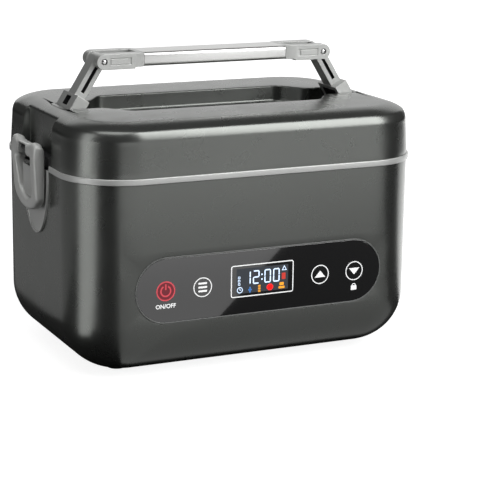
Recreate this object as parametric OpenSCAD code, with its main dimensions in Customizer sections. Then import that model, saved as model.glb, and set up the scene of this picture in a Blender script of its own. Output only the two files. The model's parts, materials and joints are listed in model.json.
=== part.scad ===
// Electric lunch box: a heated base with a lift-off lid, two end latches and a
// folding carrying handle. Millimetres, +Z up, the table at z = 0, the control
// panel on the -Y side. Left is -X, right is +X.

/* [Body] */
// Length of the body
body_l = 250; // [210:1:300]
// Depth of the body
body_w = 176; // [150:1:212]
// Corner radius of the body seen from above
corner_r = 41.5; // [40:0.5:60]
// Radius of the rounded bottom edge
bottom_r = 36; // [20:0.5:38]
// Height of the seam between body and trim band above the table
seam_z = 132.5; // [125:0.5:160]
// Wall of the outer shell
shell_t = 2.5; // [2:0.1:3.5]

/* [Feet and base cover] */
// Height of a rubber foot
foot_h = 3; // [2:0.5:6]
// Radius of a rubber foot
foot_r = 7; // [5:0.5:10]
// Distance from the body's ends to the feet's centres
foot_in_x = 40; // [38:1:60]
// Distance from the body's sides to the feet's centres
foot_in_y = 45; // [38:1:60]
// Radius of a foot's push-in stem
foot_stem_r = 2.4; // [2:0.1:3]
// Distance from the body's ends to the base cover
cover_in_x = 47; // [42:1:65]
// Distance from the body's sides to the base cover
cover_in_y = 46; // [42:1:56]
// Thickness of the base cover
cover_t = 1.3; // [1:0.1:1.8]

/* [Trim band and latch plates] */
// Height of the light band between body and lid
band_h = 4; // [3:0.5:6]
// How far the band stands out from the body
band_out = 1.2; // [0.5:0.1:2]
// Width of the tongue that carries the catch
tongue_w = 51; // [40:1:56]
// Height of the tongue below the seam
tongue_h = 46; // [36:1:60]
// Thickness of the tongue
tongue_t = 1.4; // [1:0.1:1.8]
// Width of the catch
catch_w = 24; // [18:1:24]
// How far the catch stands out from the tongue
catch_out = 5.4; // [3:0.1:6]

/* [Control panel] */
// Length of the control panel with its bezel
panel_l = 179.5; // [140:0.5:190]
// Height of the control panel with its bezel
panel_h = 44.4; // [36:0.2:50]
// Height of the panel's centre above the table
panel_z = 62; // [56:1:80]
// Width of the light bezel round the panel
bezel_w = 0.9; // [0.6:0.1:2]
// Thickness of the panel's lens
lens_t = 1.4; // [1:0.1:1.5]
// How far the bezel stands out from the body
bezel_out = 0.4; // [0.2:0.1:0.8]
// Width of the display
display_w = 50; // [40:1:60]
// Height of the display
display_h = 25; // [18:1:28]

/* [Lid] */
// Height of the lid from the band to its top
lid_h = 34; // [30:1:50]
// How far each lid wall leans in towards the top
lid_lean = 1.2; // [0:0.2:4]
// Height of the lid's rounded top edge
edge_h = 8; // [5:0.5:12]
// Width of the lid's rounded top edge
edge_w = 19; // [10:0.5:20]
// Wall of the lid
lid_t = 2.2; // [1.8:0.1:3]
// Distance from the lid's ends to the handle recess
recess_in = 14.5; // [14.5:0.5:19]
// Depth of the handle recess
recess_d = 12; // [12:0.5:16]
// Width of the recess in its wide middle
recess_w = 68; // [50:1:90]
// Width of the recess at its narrow ends
recess_end_w = 30; // [30:0.5:36]
// Distance from the lid's ends to the wide middle of the recess
recess_mid_in = 59; // [55:1:75]
// Length of the curve from the wide middle to a narrow end
recess_curve = 20; // [12:1:24]
// Width of the sunk channel in each end of the lid
channel_w = 57; // [56:0.5:62]
// Depth of the sunk channel in each end of the lid
channel_d = 5.6; // [5.6:0.1:6.5]

/* [Handle] */
// Distance from the recess's end to a leg's pivot
pivot_in = 7.1; // [6.9:0.1:8.5]
// How far a leg leans inwards from its pivot to its grip pin
leg_lean = 22; // [22:0.2:27.4]
// Height that the grip rises from folded to raised
handle_rise = 35.5; // [30:0.5:38]
// Depth of the grip, front to back
grip_w = 28; // [24:0.5:28]
// Height of the grip's ends
grip_h = 10.4; // [9:0.2:10.6]
// Length of one grip end
grip_end_l = 33.9; // [30:0.5:36]
// Width of a leg seen from the front
leg_w = 8.5; // [7:0.5:9]
// Thickness of a leg, front to back
leg_t = 12; // [10:0.5:14]
// Width of the slot along a leg
leg_slot_w = 2.2; // [1.5:0.1:3]
// Length of a leg's root block
root_l = 14; // [12:0.5:15]
// Width of a root block seen from the front
root_w = 9.8; // [9:0.2:10]
// Thickness of a root block, front to back
root_t = 27; // [22:0.5:27]

/* [Latches] */
// Width of a latch
latch_w = 49; // [48:1:51]
// Height of a latch
latch_h = 47; // [44:1:56]
// Thickness of a latch
latch_t = 7.8; // [7:0.2:8.6]
// Width of a latch's arm
latch_arm_w = 10; // [8:0.5:10]
// Width of a latch's lower bar
latch_foot = 7; // [5:0.5:7.5]
// How much a latch thins from its eye to its lower bar
latch_thin = 2.4; // [0:0.2:3]
// Height of a latch's top above the band
latch_rise = 13.8; // [13.4:0.2:15]
// Height of the latch pin above the band
latch_pin_h = 7.6; // [7.2:0.2:8]
// Width of the lid's lug between a latch's arms
lug_w = 14; // [10:1:15]

/* [Food tray and liner] */
// Distance from the body's ends to the food tray's rim
tray_in_x = 20; // [19:1:35]
// Distance from the body's sides to the food tray's rim
tray_in_y = 16; // [16:1:28]
// Corner radius of the food tray's rim
tray_r = 30; // [26:1:34]
// Wall of the food tray
tray_t = 1; // [0.8:0.1:1.5]
// Width of the food tray's rim
tray_rim = 7; // [6:0.5:8]
// Depth of the liner that the tray sits in
liner_d = 76; // [66:1:78]
// Wall of the liner
liner_t = 0.8; // [0.6:0.1:1.2]
// Thickness of the insulation round the liner
wrap_t = 5; // [3:0.5:5.5]

/* [Heater] */
// Thickness of the heater plate
heater_t = 3; // [2:0.5:4]
// Thickness of the heating film
film_t = 0.5; // [0.3:0.1:1]
// Gap between the heater and the heat shield
shield_gap = 7; // [6.5:0.5:9]

/* [Battery and boards] */
// Radius of a battery cell
cell_r = 9.1; // [8.5:0.1:9.2]
// Length of a battery cell
cell_l = 65; // [60:1:66]
// Thickness of a circuit board
board_t = 1.6; // [1:0.1:2]
// Distance of the charging socket from the centre
socket_x = 60; // [0:1:70]
// Height of the charging socket above the table
socket_z = 50; // [46:1:56]

/* [Fasteners and pins] */
// Radius of a screw's shank
screw_r = 1.25; // [1:0.05:1.5]
// Radius of a screw's head
screw_head_r = 2.8; // [2.4:0.1:3.2]
// Height of a screw's head
screw_head_h = 1.6; // [1:0.1:2]
// Radius of a leg's pivot pin
leg_pin_r = 1.5; // [1.2:0.1:2]
// Radius of a latch pin
latch_pin_r = 1; // [0.8:0.1:1.2]
// Radius of a grip pin
grip_pin_r = 2; // [1.5:0.1:2.4]

/* [Clearances] */
// Running clearance of a pin in its bore, on the radius
pin_gap = 0.05; // [0.02:0.01:0.1]
// Gap round a piece that drops into a pocket
fit_gap = 0.2; // [0.1:0.05:0.3]
// Gap between pieces that move past each other
move_gap = 0.4; // [0.3:0.05:0.5]

/* [Hidden] */
$fn = 48;

// Colours
dark = [0.36, 0.37, 0.355];
light = [0.72, 0.73, 0.72];
silver = [0.8, 0.8, 0.81];
steel = [0.75, 0.76, 0.78];
black = [0.05, 0.05, 0.055];
green = [0.1, 0.38, 0.2];

// Heights
floor_z = foot_h + shell_t;
band_z = seam_z + band_h;
lid_top = band_z + lid_h;
recess_z = lid_top - recess_d;
pivot_z = recess_z + grip_h / 2 + 1.1;
grip_z = pivot_z + handle_rise;
flange_t = 2;
flange_z = seam_z + flange_t;
liner_top = flange_z + liner_t;
liner_z = liner_top - liner_d;
heater_z = liner_z - heater_t;
film_z = heater_z - film_t;
shield_z = film_z - shield_gap;
wall_in_y = body_w / 2 - shell_t;
cover_l = body_l - 2 * cover_in_x;
cover_w = body_w - 2 * cover_in_y;
recess_l = body_l - 2 * recess_in;
recess_mid_l = body_l - 2 * recess_mid_in;
pivot_x = recess_l / 2 - pivot_in;
grip_pin_x = pivot_x - leg_lean;
tray_l = body_l - 2 * tray_in_x;
tray_w = body_w - 2 * tray_in_y;

// Sizes shared by pieces that fit together, in the order that the pieces come
past = 1; // how far a cutter reaches past what it cuts
liner_gap = 2;
liner_l = tray_l - 2 * tray_rim + 2 * liner_gap;
liner_w = tray_w - 2 * tray_rim + 2 * liner_gap;
liner_r = tray_r - tray_rim + liner_gap;
liner_flange = 8;
liner_fillet = 8;
wrap_gap = 0.3;
wrap_in = 10;
stud_x = liner_l / 2 - 30;
stud_y = liner_w / 2 - 29;
stud_r = 1.5;
stud_out = 6;
nut_r = 3;
nut_h = 2.4;
heater_edge = 12;
film_edge = 10;
shield_edge_x = 20;
shield_edge_y = 18;
shield_t = 0.8;
thermostat_x = 32;
thermostat_r = [7.5, 5];
thermostat_h = [3, 2.2];
fuse_at = [-40, 18];
fuse_r = 2.2;
fuse_l = 14;
sensor_y = -22;
sensor_r = [3, 5];
sensor_h = [5, 1];
boss_r = 4;
boss_h = 10;
cover_r = 6;
cover_hole = 0.4;
cover_screw_x = cover_l / 2 - 5;
cover_screw_y = cover_w / 2 - 5;
rebate_lip = 12;
cover_rib = 2;
lid_screw_x = body_l / 2 - 30;
lid_screw_y = body_w / 2 - 26;
lid_seat = 0.1;
seal_h = 2.6;
inner_z = flange_z + seal_h + lid_seat;
inner_t = 3;
lid_screw_l = 10;
gasket_in = [8.5, 12];
pivot_boss_r = 4.4;
pivot_boss_t = 5;
pivot_pin_in = 4;
lid_floor_z = recess_z - lid_t;
channel_x = body_l / 2 - channel_d;
latch_x = body_l / 2 + 2.2;
latch_z = band_z + latch_rise - latch_h;
latch_pin_x = latch_x + latch_t / 2 - 0.5;
latch_pin_z = band_z + latch_pin_h;
lug_r = 2.4;
lug_gap = 0.5;
latch_corner = 4.5;
latch_dip = 1.6;
latch_curve = 12;
latch_close = 1.5;
eye_corner = 4;
eye_low = band_z + 3;
ledge_z = seam_z + 1;
ledge_top = band_z + 2.5;
catch_gap = 0.8;
catch_z = latch_z + latch_foot + catch_gap;
rim_lip_t = 2;
rim_lip_h = 8;
rim_out = 1.4;
field_in = 1.2;
field_depth = 1;
leg_angle = atan2(handle_rise, pivot_x - grip_pin_x);
leg_len = norm([handle_rise, pivot_x - grip_pin_x]);
ear_gap = leg_t / 2 + move_gap;
bar_l = 2 * (grip_pin_x + grip_h / 2 - grip_end_l);
bar_w = grip_w - 3;
bar_h = grip_h - 1;
bar_t = 1.5;
grip_chamfer = 6.8;
grip_tenon = 22;
fork_wall = 3.8;
fork_panel_x = [4.4, 19];
fork_panel_z = 2.3;
fork_panel_deep = 0.5;
leg_tip = 0.4;
notch_x = [5.5, 2];
notch_y = 4;
notch_z = 1.6;
lens_y = body_w / 2 + 0.1;
pocket_in = [10, 6];
tray_wall = 1.6;
tray_deep = 16;
tray_feet = [50, 20];
tray_foot_w = 8;
cell_pitch = 2 * cell_r + 0.5;
battery_z = floor_z + 2 + tray_wall;
battery_top = battery_z + 2 * cell_r + 1;
battery_board_x = 30;
battery_board_y = 16;
post_r = 3;
screw_small_r = 0.8;
control_gap = 3.4;
control_y = -wall_in_y + control_gap;
control_screw_x = 62;
control_screw_z = 18.6;
control_post_r = 2;
control_post_in = 0.8;
socket_y = wall_in_y - 9;
socket_board_x = 14;
socket_board_z = 7;
socket_hole = [10.4, 4.6];
socket_size = [9, 3.3];
socket_t = 0.3;
main_z = 24;
main_l = 110;
main_w = 34;
main_y = wall_in_y - 7.5 - main_w;
main_top = main_z + board_t;
main_screw_in = 5;
terminal_h = 8;
terminal_edge = [5, 6];
lead_x = [-42, -32];
lead_r = 0.9;
lead_y = [26, main_y + 20];
lead_end_z = main_top + terminal_h;
ribbon_x = [10, 26];
ribbon_t = 0.6;
plug_h = 2.4;
chip_h = 1.2;
wire_r = 0.8;

// ---------------------------------------------------------------- helpers

// Points along an elliptical arc, for profiles
function arc(cx, cy, rx, ry, a0, a1, n = 10) =
    [for (i = [0:n]) let (a = a0 + (a1 - a0) * i / n) [cx + rx * cos(a), cy + ry * sin(a)]];

// One quarter of a superellipse, from its side down to its lowest point
function bulge(half_w, depth, power, n = 8) =
    [for (i = [0:n]) let (a = 90 * i / n)
        [half_w * pow(cos(a), 2 / power), -depth * pow(sin(a), 2 / power)]];

// The same curve mirrored, so that both halves make one closed U
function u_shape(half_w, top, start, depth, power) = concat(
    [[half_w, top]],
    [for (p = bulge(half_w, depth, power)) [p[0], start + p[1]]],
    [for (i = [7:-1:0]) let (p = bulge(half_w, depth, power)[i]) [-p[0], start + p[1]]],
    [[-half_w, top]]
);

// Carries a profile round a rounded rectangle. The profile's first value is the
// offset outwards from the rectangle's edge, its second is the height.
module around(l, w, r, points) {
    for (sx = [-1, 1], sy = [-1, 1]) {
        turn = sx > 0 ? (sy > 0 ? 0 : -90) : (sy > 0 ? 90 : 180);
        translate([sx * (l / 2 - r), sy * (w / 2 - r), 0])
            rotate([0, 0, turn])
                rotate_extrude(angle = 90) translate([r, 0]) polygon(points);
    }
    for (side = [0, 180]) {
        rotate([0, 0, side])
            translate([r - l / 2, w / 2 - r, 0])
                rotate([90, 0, 90])
                    linear_extrude(l - 2 * r) translate([r, 0]) polygon(points);
        rotate([0, 0, side])
            translate([l / 2 - r, w / 2 - r, 0])
                rotate([90, 0, 0])
                    linear_extrude(w - 2 * r) translate([r, 0]) polygon(points);
    }
}

// The middle block that closes what around() leaves open
module core(l, w, r, lo, hi) {
    translate([r - l / 2, r - w / 2, lo]) cube([l - 2 * r, w - 2 * r, hi - lo]);
}

// A flat slab with rounded corners
module slab(l, w, r, lo, hi) {
    translate([0, 0, lo]) linear_extrude(hi - lo) {
        square([l - 2 * r, w], center = true);
        square([l, w - 2 * r], center = true);
        for (sx = [-1, 1], sy = [-1, 1]) translate([sx * (l / 2 - r), sy * (w / 2 - r)]) circle(r);
    }
}

// A slab whose outline is moved outwards by g
module grown_slab(l, w, r, g, lo, hi) {
    slab(l + 2 * g, w + 2 * g, r + g, lo, hi);
}

// A ring between two offsets, out and inn, of a rounded rectangle
module ring(l, w, r, out, inn, lo, hi) {
    difference() {
        grown_slab(l, w, r, out, lo, hi);
        grown_slab(l, w, r, inn, lo - 1, hi + 1);
    }
}

// A box given by its lowest and highest corners
module block(a, b) {
    translate(a) cube(b - a);
}

// A round bar along Y, from y0 to y1
module bar_y(x, z, r, y0, y1) {
    translate([x, y1, z]) rotate([90, 0, 0]) cylinder(r = r, h = y1 - y0);
}

// A stadium in the X-Z plane, from y0 to y1
module stadium(l, h, y0, y1) {
    half = l / 2 - h / 2;
    block([-half, y0, -h / 2], [half, y1, h / 2]);
    for (s = [-1, 1]) {
        intersection() {
            bar_y(s * half, 0, h / 2, y0, y1);
            block([s > 0 ? half : -l, y0 - 1, -h], [s > 0 ? l : -half, y1 + 1, h]);
        }
    }
}

// An outline in the Y-Z plane, from x0 to x1
module plate_x(points, x0, x1) {
    translate([x0, 0, 0]) rotate([90, 0, 90]) linear_extrude(x1 - x0) polygon(points);
}

// Puts its children at the left end, or mirrored at the right end
module at_end(side) {
    if (side < 0) children();
    else mirror([1, 0, 0]) children();
}

// A pan-head screw with a cross slot, head downwards, the head's top at z = 0
module screw(len) {
    cross_l = 3.2;
    cross_w = 0.7;
    cross_deep = 0.9;
    difference() {
        translate([0, 0, -screw_head_h]) cylinder(r = screw_head_r, h = screw_head_h);
        for (a = [0, 90]) rotate([0, 0, a])
            translate([-cross_l / 2, -cross_w / 2, -screw_head_h - past])
                cube([cross_l, cross_w, cross_deep + past]);
    }
    cylinder(r = screw_r, h = len);
}

// Repeats its children at the four corners of a rectangle
module four(x, y) {
    for (sx = [-1, 1], sy = [-1, 1]) translate([sx * x, sy * y, 0]) children();
}

// ------------------------------------------------------------------- base

// Profile of the body's wall, inset by t
function body_wall(t) = concat(
    [[-corner_r, foot_h + t]],
    arc(-bottom_r, foot_h + bottom_r, bottom_r - t, bottom_r - t, -90, 0, 12)
);

// The body's outer form as one closed solid, inset by t
module body_solid(t) {
    around(body_l, body_w, corner_r, concat(body_wall(t), [[-t, seam_z], [-corner_r, seam_z]]));
    core(body_l, body_w, corner_r, foot_h + t, seam_z);
}

// A hollow post along +Z
module post(h) {
    hole = 7;
    difference() {
        cylinder(r = post_r, h = h);
        translate([0, 0, h - hole]) cylinder(r = screw_r, h = hole + past);
    }
}

// Places its children at the main board's four screws
module at_main_screws() {
    for (s = [-1, 1], y = [main_screw_in, main_w - 2 * main_screw_in])
        translate([s * (main_l / 2 - main_screw_in), main_y + y, 0]) children();
}

// Places its children at the control board's four screws, with +Z into the body
module at_control_screws() {
    for (s = [-1, 1], z = [-1, 1])
        translate([s * control_screw_x, 0, panel_z + z * control_screw_z]) rotate([-90, 0, 0]) children();
}

// The pocket that the panel drops into, and the opening behind it
module panel_pocket() {
    depth = lens_t + 0.1;
    translate([0, 0, panel_z]) {
        stadium(panel_l + fit_gap, panel_h + fit_gap, -body_w / 2 - past, -body_w / 2 + depth);
        stadium(panel_l - 2 * pocket_in[0], panel_h - 2 * pocket_in[1],
            -body_w / 2 - past, -body_w / 2 + shell_t + past);
    }
}

function tongue_points(grow) = u_shape(tongue_w / 2 + grow, seam_z + 1, seam_z, tongue_h + grow, 2.1);

module outer_shell() color(dark) {
    difference() {
        union() {
            around(body_l, body_w, corner_r, concat(
                body_wall(0), [[0, seam_z], [-shell_t, seam_z]],
                [for (i = [12:-1:0]) body_wall(shell_t)[i + 1]], [body_wall(shell_t)[0]]
            ));
            core(body_l, body_w, corner_r, foot_h, floor_z);
            four(cover_screw_x, cover_screw_y)
                translate([0, 0, floor_z - past]) cylinder(r = boss_r, h = boss_h + past);
            intersection() {
                at_main_screws() post(main_z);
                body_solid(1);
            }
            for (s = [-1, 1]) {
                rib = socket_x + s * (socket_board_x + 1);
                block([rib - 1, socket_y - board_t, socket_z - socket_board_z],
                    [rib + 1, wall_in_y + 1, socket_z + socket_board_z]);
            }
            at_control_screws() translate([0, 0, -wall_in_y - control_post_in]) difference() {
                cylinder(r = control_post_r, h = control_gap + control_post_in);
                translate([0, 0, control_post_in]) cylinder(r = screw_small_r, h = control_gap + past);
            }
        }
        panel_pocket();
        for (side = [-1, 1]) at_end(side)
            plate_x(tongue_points(fit_gap / 2), -body_l / 2 - past, -body_l / 2 + tongue_t + pin_gap);
        slab(cover_l + fit_gap, cover_w + fit_gap, cover_r, foot_h - past, foot_h + cover_t);
        slab(cover_l - 2 * rebate_lip, cover_w - 2 * rebate_lip, cover_r, foot_h - past, floor_z + past);
        four(cover_screw_x, cover_screw_y)
            translate([0, 0, foot_h]) cylinder(r = screw_r + pin_gap, h = boss_h);
        four(body_l / 2 - foot_in_x, body_w / 2 - foot_in_y)
            translate([0, 0, foot_h - past]) cylinder(r = foot_stem_r + pin_gap, h = shell_t + 2 * past);
        translate([socket_x, body_w, socket_z]) mirror([0, 1, 0])
            stadium(socket_hole[0], socket_hole[1],
                body_w / 2 - shell_t - past, body_w / 2 + shell_t + past);
    }
}

module base_cover() color(dark) {
    difference() {
        union() {
            slab(cover_l, cover_w, cover_r, foot_h, foot_h + cover_t);
            ring(cover_l - 2 * rebate_lip - fit_gap, cover_w - 2 * rebate_lip - fit_gap, cover_r,
                0, -cover_rib, foot_h + cover_t, floor_z + 0.5);
        }
        four(cover_screw_x, cover_screw_y)
            translate([0, 0, foot_h - past]) cylinder(r = screw_r + cover_hole, h = cover_t + 2 * past);
    }
}

module base_screws() color(steel) {
    four(cover_screw_x, cover_screw_y) translate([0, 0, foot_h]) screw(boss_h - 2);
}

module board_screws() color(steel) {
    at_main_screws() translate([0, 0, main_top]) mirror([0, 0, 1]) screw(6);
}

module control_screws() color(steel) {
    at_control_screws() translate([0, 0, control_y + board_t]) {
        shank = board_t + control_gap - control_post_in;
        cylinder(r = 1.8, h = 1);
        translate([0, 0, -shank]) cylinder(r = screw_small_r, h = shank);
    }
}

module foot(sx, sy) color(black) {
    translate([sx * (body_l / 2 - foot_in_x), sy * (body_w / 2 - foot_in_y), 0]) {
        cylinder(r = foot_r, h = foot_h);
        translate([0, 0, foot_h]) cylinder(r = foot_stem_r, h = shell_t + 1.5);
    }
}

module rim_frame() color(light) {
    difference() {
        ring(body_l, body_w, corner_r, band_out, -shell_t, seam_z, band_z);
        for (side = [-1, 1]) at_end(side)
            block([-body_l, -channel_w / 2, ledge_z], [shell_t - body_l / 2, channel_w / 2, band_z + 1]);
    }
    difference() {
        slab(body_l - 2 * shell_t, body_w - 2 * shell_t, corner_r - shell_t, seam_z, flange_z);
        slab(liner_l + 2 * move_gap, liner_w + 2 * move_gap, liner_r + move_gap, seam_z - 1, flange_z + 1);
    }
    ring(body_l, body_w, corner_r, -shell_t - fit_gap, -shell_t - rim_lip_t, seam_z - rim_lip_h, seam_z);
    for (side = [-1, 1]) at_end(side) {
        block([-body_l / 2 + shell_t, -channel_w / 2 - lid_t, flange_z],
            [-channel_x + lid_t, channel_w / 2 + lid_t, band_z]);
        plate_x(tongue_points(0), -body_l / 2, -body_l / 2 + tongue_t);
        difference() {
            plate_x(tongue_points(0), -body_l / 2 - rim_out, -body_l / 2);
            plate_x(tongue_points(-field_in),
                -body_l / 2 - rim_out - past, -body_l / 2 - rim_out + field_depth);
        }
    }
}

module catch(side) color(light) {
    at_end(side)
        plate_x(u_shape(catch_w / 2, seam_z, catch_z + catch_w / 2, catch_w / 2, 2.4),
            -body_l / 2 - catch_out, -body_l / 2 - rim_out + field_depth);
}

// ----------------------------------------------------- liner and its heater

module inner_liner() color(steel) {
    fillet = liner_fillet;
    out_z = liner_top - liner_t;
    around(liner_l, liner_w, liner_r, concat(
        [[-liner_r, liner_z]],
        arc(-fillet, liner_z + fillet, fillet, fillet, -90, 0, 6),
        [[0, out_z], [liner_flange, out_z], [liner_flange, liner_top], [-liner_t, liner_top]],
        arc(-fillet, liner_z + fillet, fillet - liner_t, fillet - liner_t, 0, -90, 6),
        [[-liner_r, liner_z + liner_t]]
    ));
    core(liner_l, liner_w, liner_r, liner_z, liner_z + liner_t);
}

module insulation_wrap() color([0.85, 0.83, 0.76]) {
    ring(liner_l, liner_w, liner_r, wrap_t + wrap_gap, wrap_gap, liner_z + wrap_in, seam_z - wrap_in);
}

module heater_plate() color([0.7, 0.71, 0.73]) {
    slab(2 * (stud_x + heater_edge), 2 * (stud_y + heater_edge), heater_edge, heater_z, liner_z);
    low = shield_z - stud_out;
    four(stud_x, stud_y) translate([0, 0, low]) cylinder(r = stud_r, h = heater_z - low);
}

module heating_film() color([0.8, 0.5, 0.15]) {
    difference() {
        slab(2 * (stud_x + film_edge), 2 * (stud_y + film_edge), film_edge, film_z, heater_z);
        four(stud_x, stud_y)
            translate([0, 0, film_z - past]) cylinder(r = stud_r + move_gap, h = film_t + 2 * past);
    }
}

module heater_nuts() color(steel) {
    four(stud_x, stud_y) translate([0, 0, shield_z - nut_h]) difference() {
        cylinder(r = nut_r, h = nut_h, $fn = 6);
        translate([0, 0, -past]) cylinder(r = stud_r, h = nut_h + 2 * past);
    }
}

module heat_shield() color([0.78, 0.78, 0.8]) {
    l = 2 * (stud_x + shield_edge_x);
    w = 2 * (stud_y + shield_edge_y);
    r = heater_edge + 2;
    lead_slot = [1.5, 4];
    difference() {
        union() {
            slab(l, w, r, shield_z, shield_z + shield_t);
            ring(l, w, r, 0, -shield_t, shield_z, film_z);
            four(stud_x, stud_y) translate([0, 0, shield_z]) cylinder(r = nut_r, h = shield_gap);
        }
        four(stud_x, stud_y)
            translate([0, 0, shield_z - past]) cylinder(r = stud_r, h = shield_gap + 2 * past);
        for (x = lead_x)
            block([x - lead_slot[0], stud_y, film_z - lead_slot[1]], [x + lead_slot[0], w, film_z + past]);
    }
}

module thermostat() color(black) {
    tab = [1, 2, 0.8];
    translate([thermostat_x, 0, film_z]) mirror([0, 0, 1]) {
        cylinder(r = thermostat_r[0], h = thermostat_h[0]);
        translate([0, 0, thermostat_h[0]]) cylinder(r = thermostat_r[1], h = thermostat_h[1]);
    }
    for (s = [-1, 1]) {
        y = s * (thermostat_r[0] + tab[1]);
        block([thermostat_x - tab[0], y - tab[1], film_z - tab[2]],
            [thermostat_x + tab[0], y + tab[1], film_z]);
    }
}

module thermal_fuse() color([0.9, 0.9, 0.85]) {
    strap = [2, 3.5, 0.6];
    x = fuse_at[0] + fuse_l / 2;
    y = fuse_at[1];
    translate([fuse_at[0], y, film_z - fuse_r]) rotate([0, 90, 0]) cylinder(r = fuse_r, h = fuse_l);
    block([x - strap[0], y - strap[1], film_z - strap[2]], [x + strap[0], y + strap[1], film_z]);
}

module temperature_sensor() color(steel) {
    translate([0, sensor_y, film_z - sensor_h[0]]) cylinder(r = sensor_r[0], h = sensor_h[0]);
    translate([0, sensor_y, film_z - sensor_h[1]]) cylinder(r = sensor_r[1], h = sensor_h[1]);
}

module heater_leads() color([0.75, 0.1, 0.08]) {
    z = film_z - lead_r - 1.5;
    for (x = lead_x) {
        translate([x, lead_y[0], z]) rotate([-90, 0, 0]) cylinder(r = lead_r, h = lead_y[1] - lead_y[0]);
        for (y = lead_y) translate([x, y, z]) sphere(r = lead_r);
        translate([x, lead_y[0], z]) cylinder(r = lead_r, h = film_z - z);
        translate([x, lead_y[1], lead_end_z]) cylinder(r = lead_r, h = z - lead_end_z);
    }
}

// -------------------------------------------------------- battery and boards

module battery_tray() color(black) {
    gap = 0.5;
    l = 2 * cell_l + 3 * tray_wall + 4 * gap;
    w = 4 * cell_pitch + 2 * tray_wall;
    base = battery_z - tray_wall;
    half = tray_foot_w / 2;
    difference() {
        block([-l / 2, -w / 2, base], [l / 2, w / 2, base + tray_deep]);
        for (s = [-1, 1]) {
            x = s * (cell_l + tray_wall + 2 * gap) / 2;
            block([x - cell_l / 2 - gap, -w / 2 + tray_wall, battery_z],
                [x + cell_l / 2 + gap, w / 2 - tray_wall, base + tray_deep + past]);
        }
    }
    for (sx = [-1, 1], sy = [-1, 1]) {
        x = sx * tray_feet[0];
        y = sy * tray_feet[1];
        block([x - half, y - half, foot_h + cover_t], [x + half, y + half, base]);
    }
}

module battery_cells() color([0.2, 0.45, 0.7]) {
    gap = 0.5;
    for (s = [-1, 1], i = [-1.5:1:1.5]) {
        x = s * (cell_l + tray_wall + 2 * gap) / 2;
        translate([x - cell_l / 2, i * cell_pitch, battery_z + cell_r])
            rotate([0, 90, 0]) cylinder(r = cell_r, h = cell_l);
    }
}

module battery_board() color(green) {
    z = battery_top;
    chip = [6, 12, 1.4];
    tab = [2, 14];
    block([-battery_board_x, -battery_board_y, z], [battery_board_x, battery_board_y, z + board_t]);
    for (i = [-1, 0, 1]) {
        x = 2 * i * chip[0];
        block([x, -chip[1] / 2, z + board_t], [x + chip[0], chip[1] / 2, z + board_t + chip[2]]);
    }
    for (s = [-1, 1]) {
        x = s * (battery_board_x - 3);
        block([x - tab[0], -tab[1], z - 1], [x + tab[0], tab[1], z]);
    }
}

module main_board() color(green) {
    relay = [[-20, 6], [-6, 26], 5];
    socket = [[8, 3], [28, 9]];
    can_x = [14, 26];
    can = [22, 5, 10];
    difference() {
        block([-main_l / 2, main_y, main_z], [main_l / 2, main_y + main_w, main_top]);
        at_main_screws()
            translate([0, 0, main_z - past]) cylinder(r = screw_r + fit_gap, h = board_t + 2 * past);
    }
    block([lead_x[0] - terminal_edge[0], lead_y[1] - terminal_edge[1], main_top],
        [lead_x[1] + terminal_edge[0], lead_y[1] + terminal_edge[1], main_top + terminal_h]);
    block([relay[0][0], main_y + relay[0][1], main_top],
        [relay[1][0], main_y + relay[1][1], main_top + relay[2]]);
    block([socket[0][0], main_y + socket[0][1], main_top],
        [socket[1][0], main_y + socket[1][1], main_top + plug_h]);
    for (x = can_x) translate([x, main_y + can[0], main_top]) cylinder(r = can[1], h = can[2]);
}

module ribbon_cable() color([0.75, 0.75, 0.72]) {
    t = ribbon_t;
    top = main_top + plug_h + terminal_h;
    front = control_y + board_t + chip_h;
    back = main_y + 6;
    x0 = ribbon_x[0];
    x1 = ribbon_x[1];
    block([x0, back - t, main_top + plug_h], [x1, back, top]);
    block([x0, front, top], [x1, back, top + t]);
    block([x0, front, top + t], [x1, front + t, panel_z - 14]);
}

module battery_leads() color([0.75, 0.1, 0.08]) {
    z = battery_top + board_t + wire_r;
    y = [10, main_y + 3];
    for (x = [-24, -21]) {
        translate([x, y[0], z]) rotate([-90, 0, 0]) cylinder(r = wire_r, h = y[1] - y[0]);
        translate([x, y[1], z]) sphere(r = wire_r);
        translate([x, y[1], main_top]) cylinder(r = wire_r, h = z - main_top);
    }
}

module socket_leads() color([0.75, 0.1, 0.08]) {
    for (x = [48, 51])
        translate([x, socket_y - board_t - wire_r, main_top])
            cylinder(r = wire_r, h = socket_z - main_top - 2);
}

module control_board() color(green) {
    half = panel_l / 2 - 6;
    tall = panel_h / 2 - 1;
    back = control_y + board_t;
    key_x = [-68, -42, 44, 69];
    key = [3, 4];
    plug = [[8, 20], [28, 13]];
    difference() {
        block([-half, control_y, panel_z - tall], [half, back, panel_z + tall]);
        at_control_screws()
            translate([0, 0, control_y - past])
                cylinder(r = screw_small_r + fit_gap, h = board_t + 2 * past);
    }
    for (x = key_x)
        block([x - key[0], back, panel_z - key[1]], [x + key[0], back + chip_h, panel_z + key[1]]);
    block([plug[0][0], back, panel_z - plug[0][1]], [plug[1][0], back + chip_h, panel_z - plug[1][1]]);
}

module display_module() color(black) {
    y0 = -lens_y + lens_t + 0.1;
    block([-display_w / 2, y0, panel_z - display_h / 2],
        [display_w / 2, control_y, panel_z + display_h / 2]);
}

module touch_film() color([0.9, 0.8, 0.4]) {
    size = [46, 0.3, 24];
    y0 = -lens_y + lens_t;
    for (s = [-1, 1]) {
        x = s * (display_w / 2 + 26);
        block([x - size[0] / 2, y0, panel_z - size[2] / 2],
            [x + size[0] / 2, y0 + size[1], panel_z + size[2] / 2]);
    }
}

module touch_panel() color(black) {
    translate([0, 0, panel_z])
        stadium(panel_l - 2 * bezel_w - fit_gap, panel_h - 2 * bezel_w - fit_gap, -lens_y, -lens_y + lens_t);
}

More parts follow.
